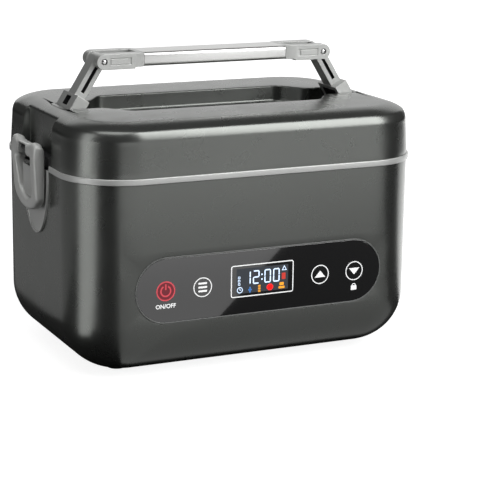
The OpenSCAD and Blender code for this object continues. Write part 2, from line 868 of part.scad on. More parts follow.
module panel_bezel() color(light) {
    translate([0, 0, panel_z]) difference() {
        stadium(panel_l, panel_h, -body_w / 2 - bezel_out, -body_w / 2 + lens_t);
        stadium(panel_l - 2 * bezel_w, panel_h - 2 * bezel_w, -body_w, 0);
    }
}

module socket_board() color(green) {
    block([socket_x - socket_board_x, socket_y - board_t, socket_z - socket_board_z],
        [socket_x + socket_board_x, socket_y, socket_z + socket_board_z]);
}

module charging_socket() color(steel) {
    l = socket_size[0];
    h = socket_size[1];
    tongue = [6.7, 0.7];
    translate([socket_x, 0, socket_z]) {
        difference() {
            stadium(l, h, socket_y, body_w / 2 - 0.6);
            stadium(l - 2 * socket_t, h - 2 * socket_t, socket_y + 1.5, body_w / 2 + past);
        }
        stadium(tongue[0], tongue[1], socket_y + 1, body_w / 2 - 2);
    }
}

// -------------------------------------------------------------- food tray

module food_tray() color(silver) {
    fillet = 9;
    low = liner_z + liner_t;
    top = liner_top + 1.2;
    l = tray_l - 2 * tray_rim;
    w = tray_w - 2 * tray_rim;
    r = tray_r - tray_rim;
    around(l, w, r, concat(
        [[-r, low]],
        arc(-fillet, low + fillet, fillet, fillet, -90, 0, 6),
        [[0, top - tray_t], [tray_rim, top - tray_t], [tray_rim, top], [-tray_t, top]],
        arc(-fillet, low + fillet, fillet - tray_t, fillet - tray_t, 0, -90, 6),
        [[-r, low + tray_t]]
    ));
    core(l, w, r, low, low + tray_t);
}

// -------------------------------------------------------------------- lid

// Profile of the lid, inset by t, closed down to the height lo
function lid_wall(t, lo) = concat(
    [[-corner_r, lo], [0.4 - t, lo]],
    arc(-lid_lean - edge_w, lid_top - edge_h, edge_w - t, edge_h - t, 0, 90, 10),
    [[-corner_r, lid_top - t]]
);

module lid_solid(t, lo) {
    around(body_l, body_w, corner_r, lid_wall(t, lo));
    core(body_l, body_w, corner_r, lo, lid_top - t);
}

// Half-width of the recess at distance x from its centre, with a cosine blend
function recess_half(x) = let (
    u = min(1, max(0, (abs(x) - recess_mid_l / 2) / recess_curve)),
    blend = (1 - cos(180 * u)) / 2
) recess_w / 2 + (recess_end_w / 2 - recess_w / 2) * blend;

recess_x = concat(
    [recess_l / 2],
    [for (i = [8:-1:0]) recess_mid_l / 2 + recess_curve * i / 8]
);

// Half of the recess's outline, grown by g, from its right end to its left one
function recess_side(g) = concat(
    [for (x = recess_x) [x + (x == recess_l / 2 ? g : 0), recess_half(x) + g]],
    [for (i = [len(recess_x) - 1:-1:0]) let (x = recess_x[i])
        [-x - (x == recess_l / 2 ? g : 0), recess_half(x) + g]]
);

// The whole outline: that half, then the same turned about the middle
function recess_points(g) = concat(recess_side(g), [for (p = recess_side(g)) -p]);

module recess(g, lo) {
    translate([0, 0, lo]) linear_extrude(lid_top + 1 - lo) polygon(recess_points(g));
}

module channel(g, lo) {
    block([-body_l, -channel_w / 2 - g, lo], [-channel_x + g, channel_w / 2 + g, lid_top + 1]);
}

// The round lug that a latch hangs from, and the ledge at the channel's foot
module latch_lug() {
    low = band_z + lid_seat;
    web_low = ledge_top - 1;
    difference() {
        union() {
            bar_y(-latch_pin_x, latch_pin_z, lug_r, -lug_w / 2, lug_w / 2);
            plate_y([[-channel_x, web_low], [-latch_pin_x + 1, latch_pin_z - lug_r - 1.6],
                [-latch_pin_x - 1.5, latch_pin_z - 1.8], [-latch_pin_x + 1.2, latch_pin_z - lug_r + 0.2],
                [-channel_x, web_low + 2]], -lug_w / 2, lug_w / 2);
        }
        bar_y(-latch_pin_x, latch_pin_z, latch_pin_r, -lug_w, lug_w);
    }
    half = channel_w / 2 - fit_gap;
    wide = channel_w / 2 + fit_gap;
    front = fit_gap / 2 - body_l / 2;
    block([front, -half, ledge_z + fit_gap], [shell_t - fit_gap - body_l / 2, half, ledge_top]);
    block([front, -wide, low], [-channel_x + lid_t / 2, wide, ledge_top]);
}

// An outline in the X-Z plane, from y0 to y1
module plate_y(points, y0, y1) {
    translate([0, y1, 0]) rotate([90, 0, 0]) linear_extrude(y1 - y0) polygon(points);
}

module lid_shell() color(dark) {
    low = band_z + lid_seat;
    difference() {
        union() {
            difference() {
                lid_solid(0, low);
                difference() {
                    lid_solid(lid_t, low - 1);
                    recess(lid_t, lid_floor_z);
                    for (side = [-1, 1]) at_end(side) channel(lid_t, low - 2);
                    four(lid_screw_x, lid_screw_y)
                        translate([0, 0, inner_z + inner_t]) cylinder(r = boss_r, h = lid_h);
                    for (side = [-1, 1], s = [-1, 1])
                        bar_y(side * pivot_x, pivot_z, pivot_boss_r,
                            s > 0 ? recess_end_w / 2 : -recess_end_w / 2 - pivot_boss_t,
                            s > 0 ? recess_end_w / 2 + pivot_boss_t : -recess_end_w / 2);
                }
            }
        }
        recess(0, recess_z);
        for (side = [-1, 1]) at_end(side) channel(0, low - 2);
        for (side = [-1, 1])
            bar_y(side * pivot_x, pivot_z, leg_pin_r,
                -recess_end_w / 2 - pivot_pin_in, recess_end_w / 2 + pivot_pin_in);
        four(lid_screw_x, lid_screw_y)
            translate([0, 0, inner_z]) cylinder(r = screw_r, h = inner_t + lid_screw_l);
    }
    for (side = [-1, 1]) at_end(side) latch_lug();
}

module lid_inner() color(light) {
    inset = lid_t + fit_gap;
    difference() {
        slab(body_l - 2 * inset, body_w - 2 * inset, corner_r - inset, inner_z, inner_z + inner_t);
        for (side = [-1, 1]) at_end(side) channel(lid_t + fit_gap, inner_z - 1);
        four(lid_screw_x, lid_screw_y) {
            translate([0, 0, inner_z - past])
                cylinder(r = screw_head_r + move_gap, h = screw_head_h + past + lid_seat);
            translate([0, 0, inner_z]) cylinder(r = screw_r + move_gap, h = inner_t + past);
        }
    }
}

module lid_insulation() color([0.9, 0.9, 0.88]) {
    difference() {
        slab(2 * (channel_x - lid_t - 2), body_w - 24, 30, inner_z + inner_t, lid_floor_z);
        four(lid_screw_x, lid_screw_y)
            translate([0, 0, inner_z]) cylinder(r = boss_r + move_gap, h = lid_h);
    }
}

module lid_gasket() color([0.8, 0.8, 0.8]) {
    ring(body_l, body_w, corner_r, -gasket_in[0], -gasket_in[1], inner_z - seal_h, inner_z);
}

module lid_screws() color(steel) {
    four(lid_screw_x, lid_screw_y) translate([0, 0, inner_z + screw_head_h + lid_seat]) screw(lid_screw_l);
}

module leg_pin(side) color(steel) {
    half = recess_end_w / 2 + pivot_pin_in;
    bar_y(side * pivot_x, pivot_z, leg_pin_r, -half, half);
}

module latch_pin(side) color(steel) {
    bar_y(side * latch_pin_x, latch_pin_z, latch_pin_r, -latch_w / 2 + 2, latch_w / 2 - 2);
}

// ----------------------------------------------------------------- handle

// A leg in its own frame: the pivot at the origin, the leg along +X
module leg_shape() {
    tip = leg_len + leg_tip;
    difference() {
        union() {
            bar_y(0, 0, root_w / 2, -root_t / 2, root_t / 2);
            block([0, -root_t / 2, -root_w / 2], [root_l, root_t / 2, root_w / 2]);
            block([root_l - 1, -leg_t / 2, -leg_w / 2], [tip, leg_t / 2, leg_w / 2]);
            bar_y(tip, 0, leg_w / 2, -leg_t / 2, leg_t / 2);
        }
        bar_y(0, 0, leg_pin_r + pin_gap, -root_t, root_t);
        block([root_l + 3.5, -root_t, -leg_slot_w / 2], [leg_len + leg_slot_w / 2, root_t, leg_slot_w / 2]);
        block([notch_x[0], -notch_y, notch_z], [root_l - notch_x[1], notch_y, root_w]);
        block([notch_x[0] - 1.5, notch_y - root_t / 2, -root_w],
            [root_l - notch_x[1] - 1, root_t / 2 - notch_y, -notch_z]);
    }
}

module leg(side) color(light) {
    at_end(side)
        translate([-pivot_x, 0, pivot_z]) rotate([0, -leg_angle, 0]) leg_shape();
}

module grip_end(side) color(light) {
    tail = bar_l / 2;
    half = grip_w / 2;
    low = grip_z - grip_h / 2;
    top = grip_z + grip_h / 2;
    inner = bar_t + fit_gap;
    neck = -tail - grip_chamfer;
    at_end(side) difference() {
        union() {
            intersection() {
                bar_y(-grip_pin_x, grip_z, grip_h / 2, -half, half);
                block([-body_l, -grip_w, 0], [-grip_pin_x, grip_w, body_l]);
            }
            block([-grip_pin_x, -half, low], [neck, half, top]);
            plate_z([[neck, -half], [-tail, -bar_w / 2], [-tail, bar_w / 2], [neck, half]],
                top - bar_h, top);
            block([-tail, -bar_w / 2 + inner, top - bar_h + inner],
                [-tail + grip_tenon, bar_w / 2 - inner, top - inner]);
        }
        block([-body_l, -ear_gap, 0], [-tail - fork_wall, ear_gap, body_l]);
        bar_y(-grip_pin_x, grip_z, grip_pin_r, -grip_w, grip_w);
        for (s = [0, 1]) mirror([0, s, 0])
            block([-grip_pin_x + fork_panel_x[0], half - fork_panel_deep, grip_z - fork_panel_z],
                [-grip_pin_x + fork_panel_x[1], grip_w, grip_z + fork_panel_z]);
    }
}

// An outline in the X-Y plane, from z0 to z1
module plate_z(points, z0, z1) {
    translate([0, 0, z0]) linear_extrude(z1 - z0) polygon(points);
}

module grip_bar() color(silver) {
    top = grip_z + grip_h / 2;
    difference() {
        block([-bar_l / 2, -bar_w / 2, top - bar_h], [bar_l / 2, bar_w / 2, top]);
        block([-bar_l, -bar_w / 2 + bar_t, top - bar_h + bar_t], [bar_l, bar_w / 2 - bar_t, top - bar_t]);
    }
}

module grip_pins(side) color([0.9, 0.9, 0.92]) {
    bar_y(side * grip_pin_x, grip_z, grip_pin_r, ear_gap, grip_w / 2 - 0.2);
    bar_y(side * grip_pin_x, grip_z, grip_pin_r, -grip_w / 2 + 0.2, -ear_gap);
}

// ---------------------------------------------------------------- latches

// Outline of a latch: straight top with small corners, sides that close in a
// little, and half an ellipse below
function loop_points(half, top, corner, low, depth, close) = concat(
    arc(half - corner, top - corner, corner, corner, 90, 0, 4),
    [for (i = [0:8]) let (a = 90 * i / 8) [(half - close) * cos(a), low + depth * (1 - sin(a))]],
    [for (i = [7:-1:0]) let (a = 90 * i / 8) [-(half - close) * cos(a), low + depth * (1 - sin(a))]],
    arc(-half + corner, top - corner, corner, corner, 180, 90, 4)
);

module latch(side) color(light) {
    out = -latch_x - latch_t;
    top = latch_z + latch_h;
    half = latch_w / 2;
    eye_r = latch_t / 2;
    inner = half - latch_arm_w;
    slot = lug_w / 2 + lug_gap;
    dip = inner - 1;
    at_end(side) difference() {
        intersection() {
            plate_x(loop_points(half, top, latch_corner, latch_z, latch_curve, latch_close), out, -latch_x);
            union() {
                bar_y(-latch_x - eye_r, top - eye_r, eye_r, -latch_w, latch_w);
                plate_y([[out, top - eye_r], [out, eye_low - 2], [out + latch_thin, latch_z - 1],
                    [-latch_x, latch_z - 1], [-latch_x, top - eye_r]], -latch_w, latch_w);
            }
        }
        plate_x(loop_points(inner, eye_low, eye_corner, latch_z + latch_foot, latch_curve, latch_close),
            out - 1, -latch_x + 1);
        block([out - 1, -dip, top - latch_dip], [-latch_x + 1, dip, top + 1]);
        block([out - 1, -slot, eye_low - 1], [-latch_x + 1, slot, latch_pin_z]);
        bar_y(-latch_pin_x, latch_pin_z, lug_r + lug_gap, -slot, slot);
        block([1.5 - latch_pin_x, -slot, latch_pin_z - 1], [1 - latch_x, slot, top + 1]);
        bar_y(-latch_pin_x, latch_pin_z, latch_pin_r + pin_gap, -half + 1, half - 1);
    }
}

outer_shell();
base_cover();
base_screws();
board_screws();
control_screws();
foot(-1, -1);  // foot_front_left
foot(1, -1);  // foot_front_right
foot(-1, 1);  // foot_rear_left
foot(1, 1);  // foot_rear_right
rim_frame();
catch(-1);  // catch_left
catch(1);  // catch_right
inner_liner();
insulation_wrap();
heater_plate();
heating_film();
heater_nuts();
heat_shield();
thermostat();
thermal_fuse();
temperature_sensor();
heater_leads();
battery_tray();
battery_cells();
battery_board();
main_board();
ribbon_cable();
battery_leads();
socket_leads();
control_board();
display_module();
touch_film();
touch_panel();
panel_bezel();
socket_board();
charging_socket();
food_tray();
lid_shell();
lid_inner();
lid_insulation();
lid_gasket();
lid_screws();
leg_pin(-1);  // leg_pin_left
leg_pin(1);  // leg_pin_right
latch_pin(-1);  // latch_pin_left
latch_pin(1);  // latch_pin_right
leg(-1);  // leg_left
leg(1);  // leg_right
grip_bar();
grip_end(-1);  // grip_end_left
grip_end(1);  // grip_end_right
grip_pins(-1);  // grip_pins_left
grip_pins(1);  // grip_pins_right
latch(-1);  // latch_left
latch(1);  // latch_right
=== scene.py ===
# %% [markdown]
# # A heated lunch box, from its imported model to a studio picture
# The model's pieces come out of the CAD frame at their real size and place. This
# lesson gives them their looks: fine curved meshes for the shells, satin and
# glossy finishes, a lit display, and light from a small studio.

# %% The frame
import json
import math

import bmesh
import bpy
import numpy as np
from mathutils import Matrix, Vector

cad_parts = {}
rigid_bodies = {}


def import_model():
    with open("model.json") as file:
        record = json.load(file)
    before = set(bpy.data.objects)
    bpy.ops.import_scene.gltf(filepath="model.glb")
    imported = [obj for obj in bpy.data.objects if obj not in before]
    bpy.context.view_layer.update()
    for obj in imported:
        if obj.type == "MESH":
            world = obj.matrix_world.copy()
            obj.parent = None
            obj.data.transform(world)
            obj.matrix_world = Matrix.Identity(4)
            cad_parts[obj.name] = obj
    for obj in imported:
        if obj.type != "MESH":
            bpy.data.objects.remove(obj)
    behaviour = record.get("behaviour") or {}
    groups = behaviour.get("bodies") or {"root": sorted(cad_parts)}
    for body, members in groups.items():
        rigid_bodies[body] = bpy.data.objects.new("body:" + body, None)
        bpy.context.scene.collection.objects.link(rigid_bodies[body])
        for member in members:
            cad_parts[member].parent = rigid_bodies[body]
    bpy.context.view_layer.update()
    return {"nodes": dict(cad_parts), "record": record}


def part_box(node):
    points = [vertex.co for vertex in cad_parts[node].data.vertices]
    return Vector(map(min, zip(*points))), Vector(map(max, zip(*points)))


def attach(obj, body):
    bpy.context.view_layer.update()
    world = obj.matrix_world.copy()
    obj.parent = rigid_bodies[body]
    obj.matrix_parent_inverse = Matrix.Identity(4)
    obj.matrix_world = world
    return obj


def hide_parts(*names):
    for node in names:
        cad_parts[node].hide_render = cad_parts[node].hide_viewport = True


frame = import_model()
MM = 0.001  # the frame is in metres, and this lesson's sizes are in millimetres


def corners(node):
    """A CAD node's lowest and highest corner, in millimetres."""
    low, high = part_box(node)
    return np.array(low) / MM, np.array(high) / MM


# %% [markdown]
# ## Sizes
# Every size starts from the frame, so the looks follow the CAD model. The body's
# box gives its length, depth and heights. A few radii can't be read from a box,
# so they are written here once, with the same values as in the CAD source.

# %% Sizes of the body, the band and the lid
shell_low, shell_high = corners("outer_shell")
lid_low, lid_high = corners("lid_shell")
rim_low, rim_high = corners("rim_frame")
LENGTH = shell_high[0] - shell_low[0]
DEPTH = shell_high[1] - shell_low[1]
FLOOR = shell_low[2]
SEAM = shell_high[2]
BAND = rim_high[2]
LID_BOTTOM = lid_low[2]
LID_TOP = lid_high[2]
CORNER = 41.5  # radius of the body's corners, seen from above
BOTTOM_ROUND = 36.0  # radius of the bottom edge
WALL, LID_WALL = 2.5, 2.2  # thickness of the base's wall and of the lid's
FIT = 0.1  # room between a piece and the hole that it sits in
BAND_OUT = rim_high[1] - shell_high[1]  # at the front: the tongues stand out further at the ends
print(f"body {LENGTH:.1f} x {DEPTH:.1f}, seam at {SEAM:.1f}, lid top at {LID_TOP:.1f}")

# %% [markdown]
# ## Surfaces as grids
# A moulded shell is one smooth skin, so each shape here is a grid: its columns go
# round the piece, its rows go along a profile. The points come from numpy as whole
# arrays. Joining neighbours of the grid gives the faces, and where the grid closes
# on itself, the last column joins the first.

# %% Grid helpers
def grid_faces(rows, columns, wrap_rows, keep):
    """Quads of a grid: corner (i, j), then (i, j+1), (i+1, j+1), (i+1, j). The last
    column joins the first. wrap_rows joins the last row to the first as well, and
    keep(i, j) says which quads stay."""
    i, j = np.meshgrid(np.arange(rows if wrap_rows else rows - 1), np.arange(columns), indexing="ij")
    if keep is not None:
        i, j = i[keep(i, j)], j[keep(i, j)]
    k, l = (i + 1) % rows, (j + 1) % columns
    quads = np.stack([i * columns + j, i * columns + l, k * columns + l, k * columns + j], -1)
    return quads.reshape(-1, 4)


class Skin:
    """Collects grids and flat caps in millimetres, and turns them into one mesh."""

    def __init__(self):
        self.points, self.faces, self.count = [], [], 0

    def grid(self, points, wrap_rows=False, keep=None, caps=""):
        """Adds a (rows, columns, 3) grid. caps may hold 'first' and 'last', which
        close those rows with one flat face each."""
        rows, columns = points.shape[:2]
        quads = grid_faces(rows, columns, wrap_rows, keep) + self.count
        self.faces += quads.tolist()
        ring = np.arange(columns)
        if "first" in caps:
            self.faces.append((ring[::-1] + self.count).tolist())
        if "last" in caps:
            self.faces.append((ring + (rows - 1) * columns + self.count).tolist())
        self.points.append(points.reshape(-1, 3))
        self.count += rows * columns
        return self

    def mesh(self, name, sharp=35.0):
        """Merges doubles, turns the faces outwards, marks the sharp edges and keeps the
        caps, which have many corners, flat."""
        mesh = bpy.data.meshes.new(name)
        mesh.from_pydata((np.concatenate(self.points) * MM).tolist(), [], self.faces)
        work = bmesh.new()
        work.from_mesh(mesh)
        bmesh.ops.remove_doubles(work, verts=work.verts, dist=1e-6)
        bmesh.ops.recalc_face_normals(work, faces=work.faces)
        work.to_mesh(mesh)
        work.free()
        mesh.shade_smooth()
        mesh.set_sharp_from_angle(angle=math.radians(sharp))
        corner_count = np.empty(len(mesh.polygons), np.int32)
        mesh.polygons.foreach_get("loop_total", corner_count)
        mesh.polygons.foreach_set("use_smooth", corner_count <= 4)
        return mesh


# %% [markdown]
# A finished mesh becomes a piece that rides on one of the CAD bodies, so that it
# moves with it in every pose. Where it shows a CAD node better than the node's own
# mesh does, it stands for that node. Profiles are written with two small helpers.

# %% Placing a piece, and profiles
def place(name, mesh, body, material, stands_for=()):
    """Puts a mesh into the scene as a piece that rides on a CAD body."""
    piece = bpy.data.objects.new(name, mesh)
    bpy.context.scene.collection.objects.link(piece)
    mesh.materials.clear()
    mesh.materials.append(material)
    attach(piece, body)
    if stands_for:
        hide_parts(*stands_for)
    print(f"{name}: {len(mesh.polygons)} faces")
    return piece


def arc(cx, cz, rx, rz, start, stop, steps):
    """Points along an ellipse's arc: centre plus radius times cosine and sine."""
    turn = np.radians(np.linspace(start, stop, steps + 1))
    return np.stack([cx + rx * np.cos(turn), cz + rz * np.sin(turn)], -1)


def straight(*points):
    """Corner points of a profile, as an array."""
    return np.array(points, float)


# %% [markdown]
# ## Finishes
# A finish is a node tree, and most of it is arithmetic on patterns. The class
# below wraps a socket, so that arithmetic is written as plain expressions and the
# Math nodes come by themselves.

# %% Shader arithmetic
def arithmetic(operation, reflected=False):
    """A method that adds one Math node. The reflected form serves `1 - wire`."""
    def method(wire, other):
        first, second = (other, wire) if reflected else (wire, other)
        return wire.finish.node("ShaderNodeMath", {"operation": operation}, {0: first, 1: second})
    return method


class Wire:
    """A shader socket that can be added, subtracted and multiplied."""

    def __init__(self, finish, socket):
        self.finish, self.socket = finish, socket

    __add__, __radd__ = arithmetic("ADD"), arithmetic("ADD", reflected=True)
    __sub__, __rsub__ = arithmetic("SUBTRACT"), arithmetic("SUBTRACT", reflected=True)
    __mul__, __rmul__ = arithmetic("MULTIPLY"), arithmetic("MULTIPLY", reflected=True)


class Finish:
    """A material with one Principled shader and the patterns that feed it."""

    def __init__(self, name, color, roughness, **constants):
        self.material = bpy.data.materials.new(name)
        self.material.use_nodes = True
        self.tree = self.material.node_tree
        self.shader = self.tree.nodes["Principled BSDF"]
        self.color, self.roughness = color, roughness
        self.shader.inputs["Base Color"].default_value = (*color, 1.0)
        self.shader.inputs["Roughness"].default_value = roughness
        for key, value in constants.items():
            self.shader.inputs[key.replace("_", " ")].default_value = value

    def node(self, kind, settings=None, inputs=None, output=0):
        """Adds a node: its settings first, then its sockets' values or links."""
        node = self.tree.nodes.new(kind)
        for key, value in (settings or {}).items():
            setattr(node, key, value)
        for key, value in (inputs or {}).items():
            if isinstance(value, Wire):
                self.tree.links.new(value.socket, node.inputs[key])
            else:
                node.inputs[key].default_value = value
        return Wire(self, node.outputs[output])

    def feed(self, socket, wire):
        """Links a wire to one of the shader's sockets."""
        self.tree.links.new(wire.socket, self.shader.inputs[socket])

    def here(self):
        """Object coordinates: metres on a finished piece."""
        return self.node("ShaderNodeTexCoord", output="Object")

    def noise(self, scale, detail=2.0, stretch=(1, 1, 1)):
        """Noise over the piece, about `scale` spots to a metre."""
        spot = self.node("ShaderNodeVectorMath", {"operation": "MULTIPLY"}, {0: self.here(), 1: stretch})
        return self.node("ShaderNodeTexNoise", {}, {"Vector": spot, "Scale": scale, "Detail": detail})

    def vary_color(self, wire, amount):
        """Lightens and darkens the base colour by `amount` as the wire goes from 0 to 1."""
        dark = tuple(c * (1 - amount) for c in self.color)
        light = tuple(c * (1 + amount) for c in self.color)
        mixed = self.node("ShaderNodeMix", {"data_type": "RGBA"},
                          {0: wire, 6: (*dark, 1.0), 7: (*light, 1.0)}, output=2)
        self.feed("Base Color", mixed)
        return self

    def vary_roughness(self, wire, amount):
        """Moves the roughness up and down by `amount` as the wire goes from 0 to 1."""
        self.feed("Roughness", self.roughness + (wire - 0.5) * (2 * amount))
        return self

    def grain(self, wire, height):
        """Bumps of `height` metres where the wire is 1."""
        bump = self.node("ShaderNodeBump", {}, {"Height": wire, "Distance": height, "Strength": 1.0})
        self.feed("Normal", bump)
        return self


# %% [markdown]
# The real box has a few families of surface: satin gunmetal paint, light grey
# moulded plastic with a fine spark-eroded grain, satin metal on the grip, black
# glass-like plastic on the panel, rubber, steel, and the plain parts inside.

# %% The finishes
def moulded(name, color, roughness, grain=0.00002, **constants):
    """Moulded plastic: a fine even grain, faint flow clouds and rubbed gloss."""
    finish = Finish(name, color, roughness, **constants)
    finish.vary_color(finish.noise(14.0), 0.05)
    finish.vary_roughness(finish.noise(60.0), 0.04)
    finish.grain(finish.noise(2600.0, 1.0), grain)
    return finish.material


def brushed(name, color, roughness, stretch, **constants):
    """Brushed metal: noise drawn out along the brushing gives fine parallel lines."""
    finish = Finish(name, color, roughness, Metallic=1.0, **constants)
    lines = finish.noise(900.0, 3.0, stretch)
    finish.vary_color(lines, 0.06)
    finish.vary_roughness(lines, 0.07)
    finish.grain(lines, 0.000006)
    return finish.material


paint = moulded("gunmetal_paint", (0.150, 0.156, 0.148), 0.28, 0.000004, Metallic=0.9)
trim = moulded("light_trim", (0.58, 0.587, 0.575), 0.40, Metallic=0.35)
latch_grey = moulded("latch_plastic", (0.62, 0.627, 0.612), 0.36, Metallic=0.2)
leg_grey = moulded("leg_plastic", (0.52, 0.527, 0.515), 0.38, 0.00004, Metallic=0.6)
silver = brushed("satin_silver", (0.72, 0.72, 0.71), 0.34, (0.03, 1, 1))
pin_steel = brushed("pin_steel", (0.82, 0.82, 0.82), 0.16, (1, 0.05, 1))
tray_steel = brushed("tray_steel", (0.66, 0.66, 0.65), 0.24, (0.05, 1, 1))
liner_metal = brushed("liner_aluminium", (0.60, 0.60, 0.61), 0.38, (0.05, 1, 1))
screw_steel = brushed("screw_steel", (0.50, 0.50, 0.50), 0.32, (1, 1, 1))
rubber = moulded("foot_rubber", (0.012, 0.012, 0.012), 0.7)
gasket_grey = moulded("gasket_silicone", (0.55, 0.55, 0.54), 0.55)
glass_black = moulded("panel_lens", (0.004, 0.004, 0.0045), 0.07, 0.0000005,
                      Specular_IOR_Level=1.0, Coat_Weight=1.0, Coat_IOR=2.2)
# Near-black plastic for the real black parts; the same finish is also painted shade on the lugs, the channel
# ledges and the legs' slots.
black_plastic_and_shade = moulded("black_plastic_and_shade", (0.015, 0.015, 0.016), 0.5)
board_green = moulded("board_green", (0.02, 0.11, 0.05), 0.35)
film_amber = moulded("heating_film", (0.45, 0.2, 0.03), 0.3)
wire_red = moulded("wire_red", (0.45, 0.03, 0.02), 0.4)
ribbon_grey = moulded("ribbon_grey", (0.5, 0.5, 0.48), 0.45)
cell_blue = moulded("cell_wrap", (0.03, 0.12, 0.32), 0.25)
felt = moulded("insulation_felt", (0.62, 0.6, 0.54), 0.9, 0.0003)
ceramic = moulded("fuse_ceramic", (0.7, 0.7, 0.65), 0.2)

FINISH_OF_SLOT = {
    "body_plastic": paint, "trim_plastic": trim, "latch_plastic": latch_grey, "grip_metal": silver,
    "pin_steel": pin_steel, "foot_rubber": rubber, "panel_black": glass_black, "tray_steel": tray_steel,
    "liner_aluminium": liner_metal, "heating_film": film_amber, "screw_steel": screw_steel,
    "black_part": black_plastic_and_shade, "fuse_ceramic": ceramic, "wire_red": wire_red,
    "ribbon_grey": ribbon_grey,
    "cell_blue": cell_blue, "board_green": board_green, "insulation_felt": felt,
    "gasket_rubber": gasket_grey,
}
print("finishes by material slot:", len(FINISH_OF_SLOT))

# %% [markdown]
# ## Going round a box with round corners
# The base, the band and the lid share one outline seen from above: a rectangle
# with round corners. Each column of their grids is a point on the inner rectangle,
# on which the corners are centred, and a direction straight out of it. Moving along
# that direction by the corner radius gives the outline, and by a little less or more
# an inset or a lip.

# %% The outline
LONG_SIDE_POINTS, CORNER_STEPS = 57, 36
CHANNEL_HALF = 28.5  # half the width of the channels at the lid's ends
SIDE_X = np.linspace(-1, 1, LONG_SIDE_POINTS)
TURN = np.arange(1, CORNER_STEPS) / CORNER_STEPS

# Along an end the columns stand close together at the channel's two flanks.
flank = CHANNEL_HALF / (DEPTH / 2 - CORNER)
near_flank = np.array([-0.03, -0.022, -0.015, -0.008, 0.0, 0.008, 0.015, 0.022, 0.03])
SIDE_Y = np.concatenate([[-1, -0.85, -0.72], near_flank - flank, np.linspace(-0.5, 0.5, 11),
                         near_flank + flank, [0.72, 0.85, 1]])


class Outline:
    """A rounded rectangle with named columns, anticlockwise from the front left."""

    def __init__(self, length, depth, radius):
        a, b = length / 2 - radius, depth / 2 - radius
        self.radius = radius
        core, out = [], []

        def side(x, y, direction):
            core.append(np.stack(np.broadcast_arrays(x, y), -1))
            out.append(np.tile(direction, (len(core[-1]), 1)))

        def corner(x, y, start):
            turn = np.radians(start + 90 * TURN)
            core.append(np.tile([x, y], (len(turn), 1)))
            out.append(np.stack([np.cos(turn), np.sin(turn)], -1))

        side(a * SIDE_X, -b, (0.0, -1.0))
        corner(a, -b, -90)
        side(a, b * SIDE_Y, (1.0, 0.0))
        corner(a, b, 0)
        side(-a * SIDE_X, b, (0.0, 1.0))
        corner(-a, b, 90)
        side(-a, -b * SIDE_Y, (-1.0, 0.0))
        corner(-a, -b, 180)
        self.core, self.out = np.concatenate(core), np.concatenate(out)

    def loop(self, offset, z):
        """The outline moved out by offset, at height z: core + direction * (radius + offset)."""
        flat = self.core + self.out * (self.radius + offset)
        return np.column_stack([flat, np.full(len(flat), z)])

    def sweep(self, profile):
        """A profile of (offset, height) points carried round the outline."""
        return np.stack([self.loop(offset, z) for offset, z in profile])


body_outline = Outline(LENGTH, DEPTH, CORNER)
COLUMNS = len(body_outline.core)
print("columns round the body:", COLUMNS)

# %% [markdown]
# ## The base's outer shell
# The real shell is one injection moulding: straight walls, a large round bottom
# edge, and an opening below that the base cover closes. As a grid it is a closed
# band of rows: down the outside, under the bottom, through the opening and up the
# inside. The control panel and the charging socket sit in openings of the walls.
# There the grid leaves out a rectangle, and a smaller grid joins the rectangle's
# border to the round opening.

# %% Openings in a wall
def stadium(length, height, x, z, near):
    """For each point of `near`, (x, z) pairs, the matching point on a stadium:
    above or below its straight part, or on the end's half circle towards it."""
    half = length / 2 - height / 2
    middle = np.clip(near[:, 0] - x, -half, half)
    away = np.column_stack([near[:, 0] - x - middle, near[:, 1] - z])
    inside = np.abs(near[:, 0] - x) < half
    away[inside, 0] = 0
    away /= np.linalg.norm(away, axis=1, keepdims=True)
    return np.column_stack([x + middle, np.full(len(near), z)]) + away * height / 2


def border(first_row, last_row, first_column, last_column):
    """Grid places round a rectangle of the grid, as (row, column) pairs."""
    across = np.arange(first_column, last_column)
    down = np.arange(first_row, last_row)
    rows = np.concatenate([np.full(len(across), first_row), down,
                           np.full(len(across), last_row), down[::-1] + 1])
    columns = np.concatenate([across, np.full(len(down), last_column),
                              across[::-1] + 1, np.full(len(down), first_column)])
    return rows, columns


def opening(outer, inner, length, height, x, z, steps):
    """Rows from an outer wall's border to an inner wall's, past a stadium drawn at
    several sizes and depths. steps are (growth, depth below the outer face)."""
    near = outer[:, [0, 2]]
    face = np.sign(outer[:, 1].mean())
    rows = [outer]
    for growth, depth in steps:
        flat = stadium(length + 2 * growth, height + 2 * growth, x, z, near)
        rows.append(np.insert(flat, 1, face * (DEPTH / 2 - depth), axis=1))
    rows.append(inner)
    return np.stack(rows)


# %% [markdown]
# The shell's wall needs a row at the top and at the foot of each opening, so these
# heights are named first. In the real mould, the cover under the base sits in a
# shallow rebate with a lip behind it. Both are rows of the same grid.

# %% The shell
PANEL_ROW = 88.0  # the wall's row above the control panel, whose rectangle ends at the bottom round
SOCKET_ROWS = (56.0, 44.0)  # the wall's rows above and below the charging socket
WALL_LEVELS = [SEAM - 0.6, 110.0, PANEL_ROW, 77.0, 66.0, *SOCKET_ROWS, FLOOR + BOTTOM_ROUND]
COVER_CORNER, REBATE_DEPTH, REBATE_LIP = 6.0, 1.4, 12.0
panel_low, panel_high = corners("panel_bezel")
lens_low, lens_high = corners("touch_panel")
socket_low, socket_high = corners("charging_socket")
cover_high = corners("base_cover")[1]
PANEL_X, PANEL_Z = 0.0, (panel_low[2] + panel_high[2]) / 2
PANEL_L, PANEL_H = panel_high[0] - panel_low[0], panel_high[2] - panel_low[2]


